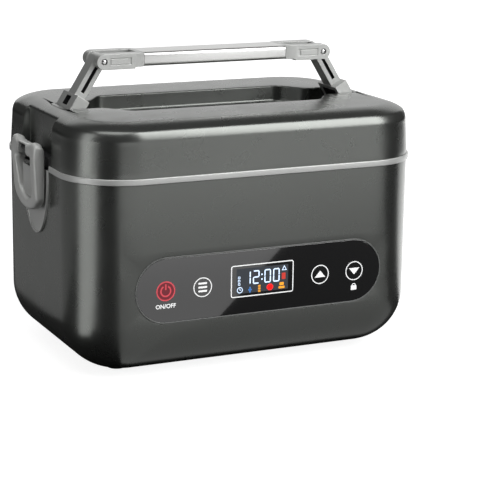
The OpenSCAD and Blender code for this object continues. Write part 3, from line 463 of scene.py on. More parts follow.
def shell_skin():
    """Rows down the outside, through the opening in the bottom and up the inside."""
    inner_round = BOTTOM_ROUND - WALL
    outside = np.concatenate([
        straight((-0.4, SEAM), (0.0, SEAM - 0.3)),
        straight(*[(0.0, z) for z in WALL_LEVELS]),
        arc(-BOTTOM_ROUND, FLOOR + BOTTOM_ROUND, BOTTOM_ROUND, BOTTOM_ROUND, 0, -90, 28)[1:],
    ])
    inside = np.concatenate([
        arc(-BOTTOM_ROUND, FLOOR + BOTTOM_ROUND, inner_round, inner_round, -90, 0, 12)[:-1],
        straight(*[(-WALL, z) for z in WALL_LEVELS[::-1]]),
        straight((-WALL, SEAM)),
    ])
    cover = Outline(*(2 * (cover_high[:2] + FIT)), COVER_CORNER)
    hole = Outline(*(2 * (cover_high[:2] - REBATE_LIP)), COVER_CORNER)
    bottom = [cover.loop(0, FLOOR), cover.loop(0, FLOOR + REBATE_DEPTH),
              hole.loop(0, FLOOR + REBATE_DEPTH), hole.loop(0, FLOOR + WALL)]
    return np.concatenate([body_outline.sweep(outside), np.stack(bottom), body_outline.sweep(inside)])


shell = shell_skin()
print("rows of the shell:", len(shell))

# %% [markdown]
# The rectangles that the grid leaves out are named by rows and columns. The front
# one starts in the last corner, before the first column, so the columns are turned
# by a few places first. Every hole is left out of the outer wall and of the inner.

# %% The shell's openings
FIRST_LEVEL = 2  # rows before the wall's own levels
CORNER_REACH = 8  # columns of each front corner that the panel's rectangle takes
SOCKET_ROOM = 12.0  # from the socket's middle to the sides of its rectangle
SOCKET_HOLE = (10.4, 4.6)
PANEL_STEPS = [(0.5, 0.0), (0.25, 0.05), (FIT, 0.3), (FIT, 1.5), (-9, 1.5), (-9, WALL)]
SOCKET_STEPS = [(0.6, 0.0), (0.25, 0.1), (0.0, 0.4), (0.0, WALL)]


def twin(row):
    """The inner wall's row at the same height."""
    return len(shell) - 2 - (row - FIRST_LEVEL)


def wall_hole(level_top, level_bottom, left, right):
    """Rows and columns of a rectangle that a wall leaves free."""
    top, bottom = WALL_LEVELS.index(level_top), WALL_LEVELS.index(level_bottom)
    return FIRST_LEVEL + top, FIRST_LEVEL + bottom, left, right


FRONT = len(SIDE_X)
REAR = FRONT + len(TURN) + len(SIDE_Y) + len(TURN)
socket_x = (socket_low[0] + socket_high[0]) / 2
socket_z = (socket_low[2] + socket_high[2]) / 2
rear_x = body_outline.core[REAR:REAR + len(SIDE_X), 0]
socket_left = REAR + int(np.argmin(np.abs(rear_x - (socket_x + SOCKET_ROOM))))
socket_right = REAR + int(np.argmin(np.abs(rear_x - (socket_x - SOCKET_ROOM))))

turned = np.roll(shell, CORNER_REACH, axis=1)
front_hole = wall_hole(PANEL_ROW, FLOOR + BOTTOM_ROUND, 0, FRONT - 1 + 2 * CORNER_REACH)
rear_hole = wall_hole(*SOCKET_ROWS, socket_left + CORNER_REACH, socket_right + CORNER_REACH)


def outside_holes(i, j):
    """True for the grid's faces that belong to neither hole, outside or inside."""
    keep = np.ones(i.shape, bool)
    for top, bottom, left, right in (front_hole, rear_hole):
        across = (j >= left) & (j < right)
        keep &= ~(across & (i >= top) & (i < bottom))
        keep &= ~(across & (i >= twin(bottom)) & (i < twin(top)))
    return keep


shell_mesh = Skin().grid(turned, wrap_rows=True, keep=outside_holes)
for (top, bottom, left, right), length, height, x, z, steps in (
    (front_hole, PANEL_L, PANEL_H, PANEL_X, PANEL_Z, PANEL_STEPS),
    (rear_hole, *SOCKET_HOLE, socket_x, socket_z, SOCKET_STEPS),
):
    rows, columns = border(top, bottom, left, right)
    outer, inner = turned[rows, columns], turned[twin(rows), columns]
    shell_mesh.grid(opening(outer, inner, length, height, x, z, steps))
place("base_shell", shell_mesh.mesh("base_shell"), "base", paint, ["outer_shell"])

# %% [markdown]
# ## The trim band and its tongues
# The light band is the frame that the lid sits on. Its edge stands about a
# millimetre proud of both shells and is softly rounded. Inside it a ledge carries
# the liner. At each end a tongue hangs from it with the catch for the latch. The
# band is one profile carried round the outline, and a tongue is a stack of loops.

# %% The band
tray_low, tray_high = corners("food_tray")
liner_low, liner_high = corners("inner_liner")
BAND_SOFT = 0.55  # radius of the band's two edges
LEDGE_T = 2.0  # thickness of the ledge
LINER_HOLE = (200.8, 134.8, 25.4)  # length, depth and corner radius of the ledge's opening
SEAT_T = 1.0  # what is left of the band's height under a channel


def band_skin():
    """One closed profile for the edge and the ledge, and the seats under the channels."""
    o = BAND_OUT
    edge_profile = np.concatenate([
        straight((-WALL + 0.2, SEAM)),
        arc(o - BAND_SOFT, SEAM + BAND_SOFT, BAND_SOFT, BAND_SOFT, -90, 0, 6),
        arc(o - BAND_SOFT, BAND - BAND_SOFT, BAND_SOFT, BAND_SOFT, 0, 90, 6),
        straight((-WALL + 0.5, BAND), (-WALL, BAND - 0.5), (-WALL, SEAM + LEDGE_T)),
    ])
    hole = Outline(*LINER_HOLE)
    ledge = [hole.loop(0, SEAM + LEDGE_T), hole.loop(0, SEAM)]
    rows = body_outline.sweep(edge_profile)
    x, y, z = np.abs(rows[:-1, :, 0]), np.abs(rows[:-1, :, 1]), rows[:-1, :, 2]
    under_channel = (x > LENGTH / 2 - WALL - 0.3) & (y < CHANNEL_HALF - 0.1)
    rows[:-1, :, 2] = np.where(under_channel, np.minimum(z, SEAM + SEAT_T), z)
    return np.concatenate([rows, np.stack(ledge)])


# %% [markdown]
# A tongue lies flat on the end wall. Seen from the end it is a U, whose lower curve is
# a superellipse: fuller than an ellipse, softer than a box. The same U at several
# sizes, each a little further out or in, gives the raised rim and the sunk field.

# %% The tongues
def u_curve(half, top, start, depth, power, steps=24):
    """A closed U in the plane of an end wall: a straight top and sides, and a
    superellipse below, |y / half|^power + |z / depth|^power = 1."""
    turn = np.radians(np.linspace(0, 180, 2 * steps + 1))
    c, s = np.cos(turn), np.sin(turn)
    y = half * np.sign(c) * np.abs(c) ** (2 / power)
    z = start - depth * np.abs(s) ** (2 / power)
    lid_line = np.linspace(-half, half, 13)[1:-1]
    return np.column_stack([np.concatenate([[half], y, [-half], lid_line]),
                            np.concatenate([[top], z, [top], np.full(len(lid_line), top)])])


def end_plate(outlines):
    """Loops in the plane of the left end wall, each at its own x."""
    return np.stack([np.column_stack([np.full(len(yz), x), yz]) for x, yz in outlines])


def mirrored(points, side):
    """The left end's points, or their mirror image at the right end."""
    return points if side < 0 else points * [-1, 1, 1]


END = -LENGTH / 2
TONGUE_HALF, TONGUE_DROP, TONGUE_POWER = 25.5, SEAM - rim_low[2], 2.1
RIM_OUT, FIELD_OUT = rim_high[0] - shell_high[0], 0.4  # how far a tongue's rim and field stand out


def tongue_loops():
    """A raised rim round a sunk field, on a plate that reaches into the wall."""
    def at(grow):
        return u_curve(TONGUE_HALF + grow, SEAM + SEAT_T, SEAM, TONGUE_DROP + grow, TONGUE_POWER)

    top, field = END - RIM_OUT, END - FIELD_OUT
    return end_plate([
        (END + 1.3, at(0)), (top + 0.4, at(0)), (top + 0.12, at(-0.12)), (top, at(-0.4)),
        (top, at(-0.8)), (top + 0.12, at(-1.08)), (field - 0.3, at(-1.2)), (field, at(-1.5)),
    ])


band = Skin().grid(band_skin(), wrap_rows=True)
for side in (-1, 1):
    band.grid(mirrored(tongue_loops(), side), caps="first last")
place("trim_band", band.mesh("trim_band"), "base", trim, ["rim_frame"])

# %% [markdown]
# A catch is a short springy leaf on the tongue's field, and the latch's foot snaps
# over its lower edge. Its loops use the same U as the tongue, drawn in step by
# step: first round the edge, then down a dished face.

# %% The catches
catch_low, catch_high = corners("catch_left")
CATCH_ROUND, CATCH_POWER = 1.1, 2.4
DISH = ((0.15, 2.2), (0.8, 4.0), (1.3, 7.0), (1.5, 10.0))  # depth below the face, inset from the edge


def catch_loops():
    """A leaf that stands out of the tongue, with a rounded edge and a dished face."""
    half, bottom, face = catch_high[1], catch_low[2], catch_low[0]

    def at(grow):
        return u_curve(half + grow, SEAM, bottom + half, half + grow, CATCH_POWER)

    angles = np.radians(np.linspace(0, 90, 7))
    round_edge = [(face + CATCH_ROUND * (1 - math.sin(a)), at(-CATCH_ROUND * (1 - math.cos(a))))
                  for a in angles]
    dish = [(face + depth, at(-inset)) for depth, inset in DISH]
    return end_plate([(END - FIELD_OUT, at(0))] + round_edge + dish)


for side, name in ((-1, "left"), (1, "right")):
    skin = Skin().grid(mirrored(catch_loops(), side), caps="first last")
    place(f"catch_leaf_{name}", skin.mesh(f"catch_leaf_{name}"), "base", trim, [f"catch_{name}"])

# %% [markdown]
# ## The lid
# The lid is the base's outline again, with walls that lean in a little and a long
# soft top edge. The handle folds into a recess, wide in the middle and narrow over
# the legs, and each end has a channel for its latch. The grid runs from the wall
# over the top edge to the recess's lip and down to its floor. The channels are not
# cut: points that stand further out than the channel's floor are moved in to it,
# and a smooth minimum rounds the edges that this makes.

# %% The lid's sizes and channels
RECESS_DEPTH, CHANNEL_DEPTH = 12.0, 5.6
RECESS_FLOOR = LID_TOP - RECESS_DEPTH
RECESS_END = 109.2  # from the middle to the recess's ends
RECESS_HALF, NARROW_HALF = 33.0, 14.2  # half its width in the middle and over the legs
RECESS_MID, RECESS_CURVE = 66.0, 20.0  # half the length of its wide part, and of the blend beyond
RECESS_CORNER, RECESS_LIP, RECESS_FOOT = 4.0, 1.0, 2.5  # radii of its corners and of its two edges
LEAN = 1.2  # how far the wall leans in towards the top
LIP_OUT, LIP_R = 0.4, 0.3  # how far the lower lip stands out, and its radius
EDGE_ARCS = ((12.5, 0, 28), (4.8, 28, 58), (26.0, 58, 90))  # radius, first and last tilt in degrees
CHANNEL_FLOOR = LENGTH / 2 - CHANNEL_DEPTH
FLANK_BLEND, FLOOR_BLEND = 1.8, 1.2  # how softly a channel's flanks and its floor set in


def smooth_min(a, b, k):
    """The smaller of a and b, blended over about k where they meet."""
    h = np.clip(0.5 + 0.5 * (b - a) / k, 0, 1)
    return b * (1 - h) + a * h - k * h * (1 - h)


def with_channels(points, floor):
    """Moves the end walls in to the channel's floor between its two flanks."""
    x, y = points[..., 0], np.abs(points[..., 1])
    depth = np.clip((CHANNEL_HALF - y) / FLANK_BLEND + 0.5, 0, 1)
    depth = depth * depth * (3 - 2 * depth)
    sunk = smooth_min(np.abs(x), floor, FLOOR_BLEND)
    out = points.copy()
    out[..., 0] = np.sign(x) * (np.abs(x) * (1 - depth) + sunk * depth)
    return out


# %% [markdown]
# The recess has its own outline, and the grid has to arrive there with as many
# points as the body's outline has. So each column of the body is matched with a
# place on the recess's outline, stretch by stretch: the end, the channel's flank, the
# corner and the long side. One quarter is worked out, and signs give the others.

# %% The recess's outline
def recess_quarter():
    """One quarter of the recess's outline from its end to its middle: a straight end,
    a small corner, the narrow flank, a cosine blend and the wide flank. It comes with
    each point's distance along the outline."""
    r = RECESS_CORNER
    corner = arc(RECESS_END - r, NARROW_HALF - r, r, r, 0, 90, 12)
    x = np.linspace(RECESS_MID + RECESS_CURVE, RECESS_MID, 41)
    blend = (1 - np.cos(np.pi * (x - RECESS_MID) / RECESS_CURVE)) / 2
    bend = np.column_stack([x, RECESS_HALF + (NARROW_HALF - RECESS_HALF) * blend])
    line = np.concatenate([[[RECESS_END, 0]], corner, bend, [[0, RECESS_HALF]]])
    along = np.concatenate([[0], np.cumsum(np.linalg.norm(np.diff(line, axis=0), axis=1))])
    return line, along


def recess_columns():
    """For each column of the body, its point on the recess's outline and the outline's
    outward direction there, found by matching stretches of the two outlines."""
    line, along = recess_quarter()
    loop = body_outline.loop(0, 0)[:, :2]
    x, y = np.abs(loop[:, 0]), np.abs(loop[:, 1])
    a, b = LENGTH / 2 - CORNER, DEPTH / 2 - CORNER
    turn = np.arctan2(np.maximum(y - b, 0), np.maximum(x - a, 0) + 1e-9)
    turn = np.where(x <= a, np.pi / 2, turn)
    travel = np.where(y < b, y, b) + CORNER * np.where(y > b, turn, 0) + np.where(x < a, a - x, 0)
    stops = [0, CHANNEL_HALF, b, b + CORNER * np.pi / 2, b + CORNER * np.pi / 2 + a]
    bend_end = along[np.argmax(line[:, 0] <= RECESS_MID + 1e-6)]
    marks = [0, 8.0, 16.0, bend_end - 4.0, along[-1]]
    s = np.interp(travel, stops, marks)
    px, py = np.interp(s, along, line[:, 0]), np.interp(s, along, line[:, 1])
    ahead, back = np.clip(s + 0.3, 0, along[-1]), np.clip(s - 0.3, 0, along[-1])
    tx = np.interp(ahead, along, line[:, 0]) - np.interp(back, along, line[:, 0])
    ty = np.interp(ahead, along, line[:, 1]) - np.interp(back, along, line[:, 1])
    out = np.column_stack([ty, -tx]) / np.hypot(tx, ty)[:, None]
    signs = np.sign(loop) + (loop == 0)
    return np.column_stack([px, py]) * signs, out * signs


recess_points, recess_out = recess_columns()
print("recess columns:", len(recess_points))


def recess_loop(grow, z):
    """The recess's outline moved out by grow, at height z."""
    flat = recess_points + recess_out * grow
    return np.column_stack([flat, np.full(len(flat), z)])


# %% [markdown]
# The lid's top edge is what the light plays on. It leans in slowly, turns over
# quickly, and then runs out in a long flat curve: three arcs that share tangents.
# With the wall below it and the recess's lip and floor after it, the profile is whole.

# %% The lid's edge and skin
def edge_curve():
    """The long soft top edge as (inset, rise) points: three arcs, each tangent to the
    next. An arc of radius r from tilt a to b moves in by r (cos a - cos b) and up by
    r (sin b - sin a)."""
    points = [np.zeros(2)]
    for radius, first, last in EDGE_ARCS:
        a, b = math.radians(first), np.radians(np.linspace(first, last, 13)[1:])
        step = radius * np.column_stack([math.cos(a) - np.cos(b), np.sin(b) - math.sin(a)])
        points += list(points[-1] + step)
    return np.array(points)


def lid_skin():
    """From the hidden roof inside, down the inner wall, round the lower lip, up the
    outer wall and over the top, down into the recess."""
    edge = edge_curve()
    edge_high = edge[-1, 1]
    start, rise = LID_BOTTOM + LIP_R, LID_TOP - edge_high - LID_BOTTOM - LIP_R
    wall = np.concatenate([
        straight((-LID_WALL, LID_BOTTOM + 2.4), (-LID_WALL, start), (-LID_WALL + LIP_R, LID_BOTTOM)),
        arc(LIP_OUT - LIP_R, start, LIP_R, LIP_R, -90, 0, 4),
        straight(*[(LIP_OUT - (LIP_OUT + LEAN) * t, start + rise * t) for t in (0.25, 0.5, 0.75, 0.9)]),
        edge * [-1, 1] + [-LEAN, LID_TOP - edge_high],
    ])
    rows = body_outline.sweep(wall)
    floors = np.where(np.arange(len(rows)) < 2, CHANNEL_FLOOR - LID_WALL, CHANNEL_FLOOR)
    rows = np.stack([with_channels(row, floor) for row, floor in zip(rows, floors)])
    lip, foot = RECESS_LIP, RECESS_FOOT
    rim = recess_loop(lip, LID_TOP)
    blend = [rows[-1] * (1 - t) + rim * t for t in (0.25, 0.5, 0.75)]
    lip_rows = [recess_loop(lip * (1 - math.sin(a)), LID_TOP - lip * (1 - math.cos(a)))
                for a in np.radians(np.linspace(0, 90, 8))]
    foot_rows = [recess_loop(-foot * (1 - math.cos(a)), RECESS_FLOOR + foot * (1 - math.sin(a)))
                 for a in np.radians(np.linspace(0, 90, 8))]
    last = recess_loop(-foot, RECESS_FLOOR)
    floor_rows = [last * [1 - 0.02 * k, 1 - k, 1] for k in (0.35, 0.7, 0.97)]
    return np.concatenate([rows, np.stack(blend + lip_rows + foot_rows + floor_rows)])


lid_mesh = Skin().grid(lid_skin(), caps="first last")
place("lid_skin", lid_mesh.mesh("lid_skin"), "lid", paint, ["lid_shell"])

# %% [markdown]
# ## The lug that holds each latch pin, and the ledge below it
# A round barrel stands in each channel on a thin web and carries the latch's pin.
# Its outline is one closed curve, carried along the pin and drawn in a little at
# both ends so that the edges are soft. Under it the channel ends in a dark ledge,
# which closes the gap between the lid and the trim band and covers the band there.
# Lug and ledge are near-black: painted shade for the shadow under the latch's top bar.

# %% The lugs
pin_low, pin_high = corners("latch_pin_left")
LATCH_PIN_X = (pin_low[0] + pin_high[0]) / 2
LATCH_PIN_Z = (pin_low[2] + pin_high[2]) / 2
LUG_HALF, LUG_R = 7.0, 2.4  # half a lug's length along the pin, and its barrel's radius


def soft_prism(outline, along, start, stop, soft=0.4, steps=4):
    """A closed (n, 2) outline carried from start to stop along an axis (0, 1 or 2),
    whose ends curl in by soft: point + inward * soft * (1 - cos a)."""
    ahead = np.roll(outline, -1, axis=0) - np.roll(outline, 1, axis=0)
    inward = np.column_stack([-ahead[:, 1], ahead[:, 0]]) / np.linalg.norm(ahead, axis=1)[:, None]
    turning = np.sum(outline[:, 0] * np.roll(outline[:, 1], -1) - np.roll(outline[:, 0], -1) * outline[:, 1])
    inward *= np.sign(turning)
    angle = np.radians(np.linspace(90, 0, steps + 1))
    levels = np.concatenate([start + soft * (1 - np.sin(angle)), stop - soft * (1 - np.sin(angle[::-1]))])
    curl = np.concatenate([soft * (1 - np.cos(angle)), soft * (1 - np.cos(angle[::-1]))])
    levels = np.sort(levels)
    flat = outline + inward * curl[:, None, None]
    return np.insert(flat, along, np.broadcast_to(levels[:, None], flat.shape[:2]), axis=2)


def lug_outline():
    """The barrel round the pin and the web back to the channel, in the X-Z plane."""
    barrel = arc(LATCH_PIN_X, LATCH_PIN_Z, LUG_R, LUG_R, -61, 230, 28)
    root = 1 - CHANNEL_FLOOR
    web = straight((LATCH_PIN_X + 1, LATCH_PIN_Z - 4), (root, LATCH_PIN_Z - 6.1), (root, LATCH_PIN_Z - 4.1))
    return np.concatenate([barrel, web])


def ledge_outline():
    """An L: a shelf out of the channel's floor, and its lip down to the trim band."""
    out, back, top, under, low = END + 0.1, END + 2.3, BAND + 4.5, BAND + 2.1, SEAM + 1.2
    root = 1 - CHANNEL_FLOOR
    return straight((root, top), (out + 0.5, top), (out + 0.15, top - 0.15), (out, top - 0.5),
                    (out, low), (back, low), (back, under), (root, under))


lugs, ledges = Skin(), Skin()
for side in (-1, 1):
    lugs.grid(mirrored(soft_prism(lug_outline(), 1, -LUG_HALF, LUG_HALF), side), caps="first last")
    ledge = soft_prism(ledge_outline(), 1, 0.2 - CHANNEL_HALF, CHANNEL_HALF - 0.2, 0.1)
    ledges.grid(mirrored(ledge, side), caps="first last")
# The near-black on the lugs and the ledges is painted shade under the latch's top bar.
place("latch_lugs", lugs.mesh("latch_lugs"), "lid", black_plastic_and_shade)
place("channel_ledges", ledges.mesh("channel_ledges"), "lid", black_plastic_and_shade)

# %% [markdown]
# ## The latches
# A latch is a closed loop, well rounded where fingers pull it. Two matched
# outlines, outer and inner, give the loop's middle line and its width, and a
# rounded section is drawn across at every step. Above the opening the inner line
# steps up over the lug: there the top bar is thin, with a solid knuckle on each
# side of it. The loop narrows and thins downwards.

# %% The latches' outlines
latch_low, latch_high = corners("latch_left")
LATCH_HALF, LATCH_TOP, LATCH_FOOT = latch_high[1], latch_high[2], latch_low[2]
LATCH_OUT, LATCH_BACK = latch_low[0], latch_high[0]
ARM, TOP_BAR, KNUCKLE_H, FOOT_BAR = 10.0, 3.3, 10.8, 7.0  # widths of the loop round its opening
SLOT_HALF = 7.5  # half the room for the lug between the knuckles
LOOP_CURVE, LOOP_CLOSE, LOOP_THIN = 12.0, 1.5, 2.4  # the foot's curve, how far it closes, and thins
BAR_DIP, BAR_LESS = 1.6, (0.4, 1.9)  # the bar between the knuckles: lower, thinner in front and behind
OUTER_CORNER, INNER_CORNER = 4.5, 4.0
THIN_FROM = 12.8  # depth below the top from which the loop thins


def loop_half(top_line, half, corner, curve_z):
    """Half of a loop: its top line, a round corner, a side that leans in by the
    closing, and half an ellipse down to the foot."""
    top = top_line[-1, 1]
    round_top = arc(half - corner, top - corner, corner, corner, 90, 0, 10)[1:]
    lean = np.linspace(0, 1, 16)[1:-1]
    side = np.column_stack([half - LOOP_CLOSE * lean, top - corner + (curve_z - top + corner) * lean])
    foot = arc(0, curve_z, half - LOOP_CLOSE, LOOP_CURVE, 0, -90, 34)
    return np.concatenate([top_line, round_top, side, foot])


def closed(half):
    """The half and its mirror image as one closed loop."""
    return np.concatenate([half, (half * [-1, 1])[-2:0:-1]])


# %% [markdown]
# The section across the loop is a superellipse too, boxy at the back where the latch
# lies on the channel, and rounder towards the top. Its front and back halves share
# one seat line. Between the knuckles the bar is thinner, to clear the lug.

# %% The latches' skin
def latch_skin():
    """Both outlines matched point by point, then the section across each pair."""
    bar_y = SLOT_HALF - np.array([7.5, 5.5, 3.5, 1.9, 0.7, 0.25])
    spread = np.linspace(0, 1, 9)
    outer_y = np.concatenate([bar_y, SLOT_HALF + (LATCH_HALF - OUTER_CORNER - SLOT_HALF) * spread])
    inner_y = np.concatenate([bar_y, SLOT_HALF + (LATCH_HALF - ARM - INNER_CORNER - SLOT_HALF) * spread])
    inner_z = LATCH_TOP - np.where(inner_y < SLOT_HALF - 0.1, TOP_BAR, KNUCKLE_H)
    dip = np.clip((LATCH_HALF - ARM + 0.5 - outer_y) / 2.0, 0, 1)
    outer_line = np.column_stack([outer_y, LATCH_TOP - BAR_DIP * dip * dip * (3 - 2 * dip)])
    inner_line = np.column_stack([inner_y, inner_z])
    outer = closed(loop_half(outer_line, LATCH_HALF, OUTER_CORNER, LATCH_FOOT + LOOP_CURVE))
    inner = closed(loop_half(inner_line, LATCH_HALF - ARM, INNER_CORNER, LATCH_FOOT + FOOT_BAR + LOOP_CURVE))
    middle, width = (outer + inner) / 2, (outer - inner) / 2
    bar = (np.abs(middle[:, 0]) < SLOT_HALF - 0.1) & (middle[:, 1] > LATCH_TOP - TOP_BAR - 1)
    high = np.clip((middle[:, 1] - LATCH_TOP + 12) / 5, 0, 1)
    below = LATCH_TOP - THIN_FROM
    thin = np.clip((below - middle[:, 1]) / (below - LATCH_FOOT), 0, 1)
    out, back = LATCH_OUT + LOOP_THIN * thin + BAR_LESS[0] * bar, LATCH_BACK - BAR_LESS[1] * bar
    turn = np.radians(np.linspace(0, 360, 33)[:-1])
    c, s = np.cos(turn), np.sin(turn)
    front = (s < 0)[:, None]
    power = np.where(front, 2 / (3.4 - high), 2 / (7.0 - 4.4 * high))
    across, deep = np.sign(c)[:, None] * np.abs(c[:, None]) ** power, np.abs(s[:, None]) ** power
    seat = (out + back) / 2 + 0.16 * (1 - high) * (back - out)
    x = seat + np.where(front, out - seat, back - seat) * deep
    flat = middle[None] + width[None] * across[..., None]
    return np.concatenate([x[..., None], flat], axis=2)


for side, name in ((-1, "left"), (1, "right")):
    skin = Skin().grid(mirrored(latch_skin(), side), wrap_rows=True)
    loop = skin.mesh(f"latch_loop_{name}", 50)
    place(f"latch_loop_{name}", loop, f"{name}_latch", latch_grey, [f"latch_{name}"])

# %% [markdown]
# ## The handle
# The legs and the forked grip ends have slots, notches and bores that the CAD model
# already holds, so their looks start from its meshes. A copy is merged, its flat
# faces are joined up again, and a small bevel breaks every hard edge as a mould does.

# %% Softened copies of the legs and forks
HARD_EDGE = math.radians(40)


def softened(node, name, body, material, width):
    """A copy of a CAD node's mesh with flat faces dissolved and edges bevelled."""
    mesh = frame["nodes"][node].data.copy()
    mesh.name = name
    work = bmesh.new()
    work.from_mesh(mesh)
    bmesh.ops.remove_doubles(work, verts=work.verts, dist=1e-6)
    bmesh.ops.dissolve_limit(work, angle_limit=math.radians(1.0), verts=work.verts, edges=work.edges)
    work.to_mesh(mesh)
    work.free()
    mesh.shade_smooth()
    mesh.set_sharp_from_angle(angle=HARD_EDGE)
    piece = place(name, mesh, body, material, [node])
    bevel = piece.modifiers.new("edges", "BEVEL")
    bevel.width = width * MM
    bevel.segments = 3
    bevel.limit_method = "ANGLE"
    bevel.angle_limit = HARD_EDGE
    bevel.harden_normals = True
    return piece


# %% [markdown]
# A leg's slot and the window in its root are in shade inside. Their walls get the
# near-black plastic as a second material on the same piece: painted shade.

# %% The legs and the forks
leg_pin_low, leg_pin_high = corners("leg_pin_left")
grip_pin_low, grip_pin_high = corners("grip_pins_left")
LEG_FOOT = (leg_pin_low + leg_pin_high)[[0, 2]] / 2
LEG_HEAD = (grip_pin_low + grip_pin_high)[[0, 2]] / 2
ROOT_LONG, ROOT_WIDE, ROOT_DEEP, LEG_DEEP, SLOT_WIDE = 14.0, 9.8, 27.0, 12.0, 2.2


def paint_pocket_shade(piece):
    """Paints shade on the walls of a leg's slot and of its root's window with the
    near-black plastic. A face belongs there if its centre, seen along the leg, lies inside the leg."""
    centres = np.empty(3 * len(piece.data.polygons))
    piece.data.polygons.foreach_get("center", centres)
    centres = centres.reshape(-1, 3) / MM
    along = (LEG_HEAD - LEG_FOOT) / np.linalg.norm(LEG_HEAD - LEG_FOOT)
    flat = np.column_stack([-np.abs(centres[:, 0]), centres[:, 2]]) - LEG_FOOT
    far, off, deep = flat @ along, np.abs(flat @ [-along[1], along[0]]), np.abs(centres[:, 1])
    slot = (off < SLOT_WIDE / 2 + 0.1) & (deep < LEG_DEEP / 2 - 0.1)
    window = (far < ROOT_LONG - 0.2) & (off < ROOT_WIDE / 2 - 0.2) & (deep < ROOT_DEEP / 2 - 0.2)
    # The near-black on the slot and window walls is painted shade.
    piece.data.materials.append(black_plastic_and_shade)
    piece.data.polygons.foreach_set("material_index", (slot | window).astype(np.int32))
    print(piece.name, "pocket faces:", int((slot | window).sum()))


for side in ("left", "right"):
    paint_pocket_shade(softened(f"leg_{side}", f"handle_leg_{side}", f"{side}_leg", leg_grey, 0.5))
    softened(f"grip_end_{side}", f"grip_fork_{side}", "handle", leg_grey, 0.6)

# %% [markdown]
# The bar between the forks is a satin metal sleeve. It is one rounded rectangle
# carried along the grip, and its ends curl in where they meet the forks.

# %% The grip's bar
bar_low, bar_high = corners("grip_bar")
BAR_ROUND, BAR_CURL = 2.4, 0.3


def rounded(half_x, half_z, radius, steps=6):
    """A rounded rectangle as a closed outline round the origin: four quarter circles."""
    x, z = half_x - radius, half_z - radius
    centres = ((x, z), (-x, z), (-x, -z), (x, -z))
    return np.concatenate([arc(cx, cz, radius, radius, 90 * i, 90 * i + 90, steps)
                           for i, (cx, cz) in enumerate(centres)])


def bar_skin():
    """The sleeve's section, carried from fork to fork."""
    middle, half_z = (bar_low[2] + bar_high[2]) / 2, (bar_high[2] - bar_low[2]) / 2
    section = rounded(bar_high[1], half_z, BAR_ROUND, 8) + [0, middle]
    return soft_prism(section, 0, bar_low[0], bar_high[0], BAR_CURL)


sleeve = Skin().grid(bar_skin(), caps="first last")
place("grip_sleeve", sleeve.mesh("grip_sleeve"), "handle", silver, ["grip_bar"])

# %% [markdown]
# A bright pin shows at each face of a fork, a little sunk and domed, and beside it a
# raised island fills a panel of the moulding. A pin is a short round prism under a
# shallow dome. Each is made once for the left fork's front and mirrored three times.

# %% The grip's pins and side panels
GRIP_PIN_X, GRIP_Z = LEG_HEAD
FORK_HALF = corners("grip_end_left")[1][1]
SHANK_R, SHANK_FROM, SHANK_SUNK = 1.45, 6.8, 0.35
CAP_R, CAP_H = 1.4, 0.38
ISLAND_HALF_X, ISLAND_HALF_Z, ISLAND_R, ISLAND_AWAY = 6.55, 1.75, 0.25, 11.1
ISLAND_DEPTH, ISLAND_SUNK = 0.7, 0.04


def ring_outline(radius, turns=36):
    """A circle round the origin as a closed outline."""
    turn = np.radians(np.linspace(0, 360, turns + 1)[:-1])
    return np.column_stack([radius * np.cos(turn), radius * np.sin(turn)])


def dome(x, y, z, direction, rings=6):
    """A shallow dome facing along Y: radius * cos a outwards, height * sin a up."""
    angle = np.radians(np.linspace(0, 88, rings))
    rows = []
    for a in angle:
        flat = ring_outline(CAP_R * math.cos(a), 28) + [x, z]
        rows.append(np.insert(flat, 1, y + direction * CAP_H * math.sin(a), axis=1))
    return np.stack(rows)


for side, name in ((-1, "left"), (1, "right")):
    pins, panels = Skin(), Skin()
    for face in (-1, 1):
        shank = ring_outline(SHANK_R) + [GRIP_PIN_X, GRIP_Z]
        shank = soft_prism(shank, 1, SHANK_FROM, FORK_HALF - SHANK_SUNK, 0.1) * [1, face, 1]
        pins.grid(mirrored(shank, side), caps="first last")
        cap = dome(GRIP_PIN_X, face * (FORK_HALF - 0.4), GRIP_Z, face)
        pins.grid(mirrored(cap, side), caps="first last")
        island = rounded(ISLAND_HALF_X, ISLAND_HALF_Z, ISLAND_R) + [GRIP_PIN_X + ISLAND_AWAY, GRIP_Z]
        block = soft_prism(island, 1, FORK_HALF - ISLAND_DEPTH, FORK_HALF - ISLAND_SUNK, 0.12) * [1, face, 1]
        panels.grid(mirrored(block, side), caps="first last")
    place(f"grip_pin_{name}", pins.mesh(f"grip_pin_{name}"), "handle", pin_steel, [f"grip_pins_{name}"])
    place(f"grip_panel_{name}", panels.mesh(f"grip_panel_{name}"), "handle", leg_grey)

# %% [markdown]
# ## The tray and its liner
# Under the lid sit a pressed steel tray and the aluminium liner that heats it. Both
# are one profile carried round a rounded rectangle: the rim, the inner wall, a round
# corner to the flat bottom, and back up outside. A curled edge stiffens the tray.

# %% The tray and the liner
INNER_LIP, OUTER_LIP = 1.2, 0.6  # radius inside the mouth, and the chamfer under the rim


def pan(low, high, rim, corner, thick, fillet, curl):
    """Rows from the middle of the inside bottom, up, over the rim and down outside."""
    bottom, top = low[2], high[2]
    inner = fillet - thick
    outline = Outline(*(2 * (high[:2] - rim)), corner - rim)
    profile = np.concatenate([
        arc(-fillet, bottom + fillet, inner, inner, -90, 0, 8),
        arc(-thick + INNER_LIP, top - INNER_LIP, INNER_LIP, INNER_LIP, 180, 90, 5),
        arc(rim - curl, top - curl, curl, curl, 90, -90, 8),
        straight((rim - curl, top - thick), (OUTER_LIP, top - thick), (0.0, top - thick - OUTER_LIP)),
        arc(-fillet, bottom + fillet, fillet, fillet, 0, -90, 8),
    ])
    return Skin().grid(outline.sweep(profile), caps="first last")


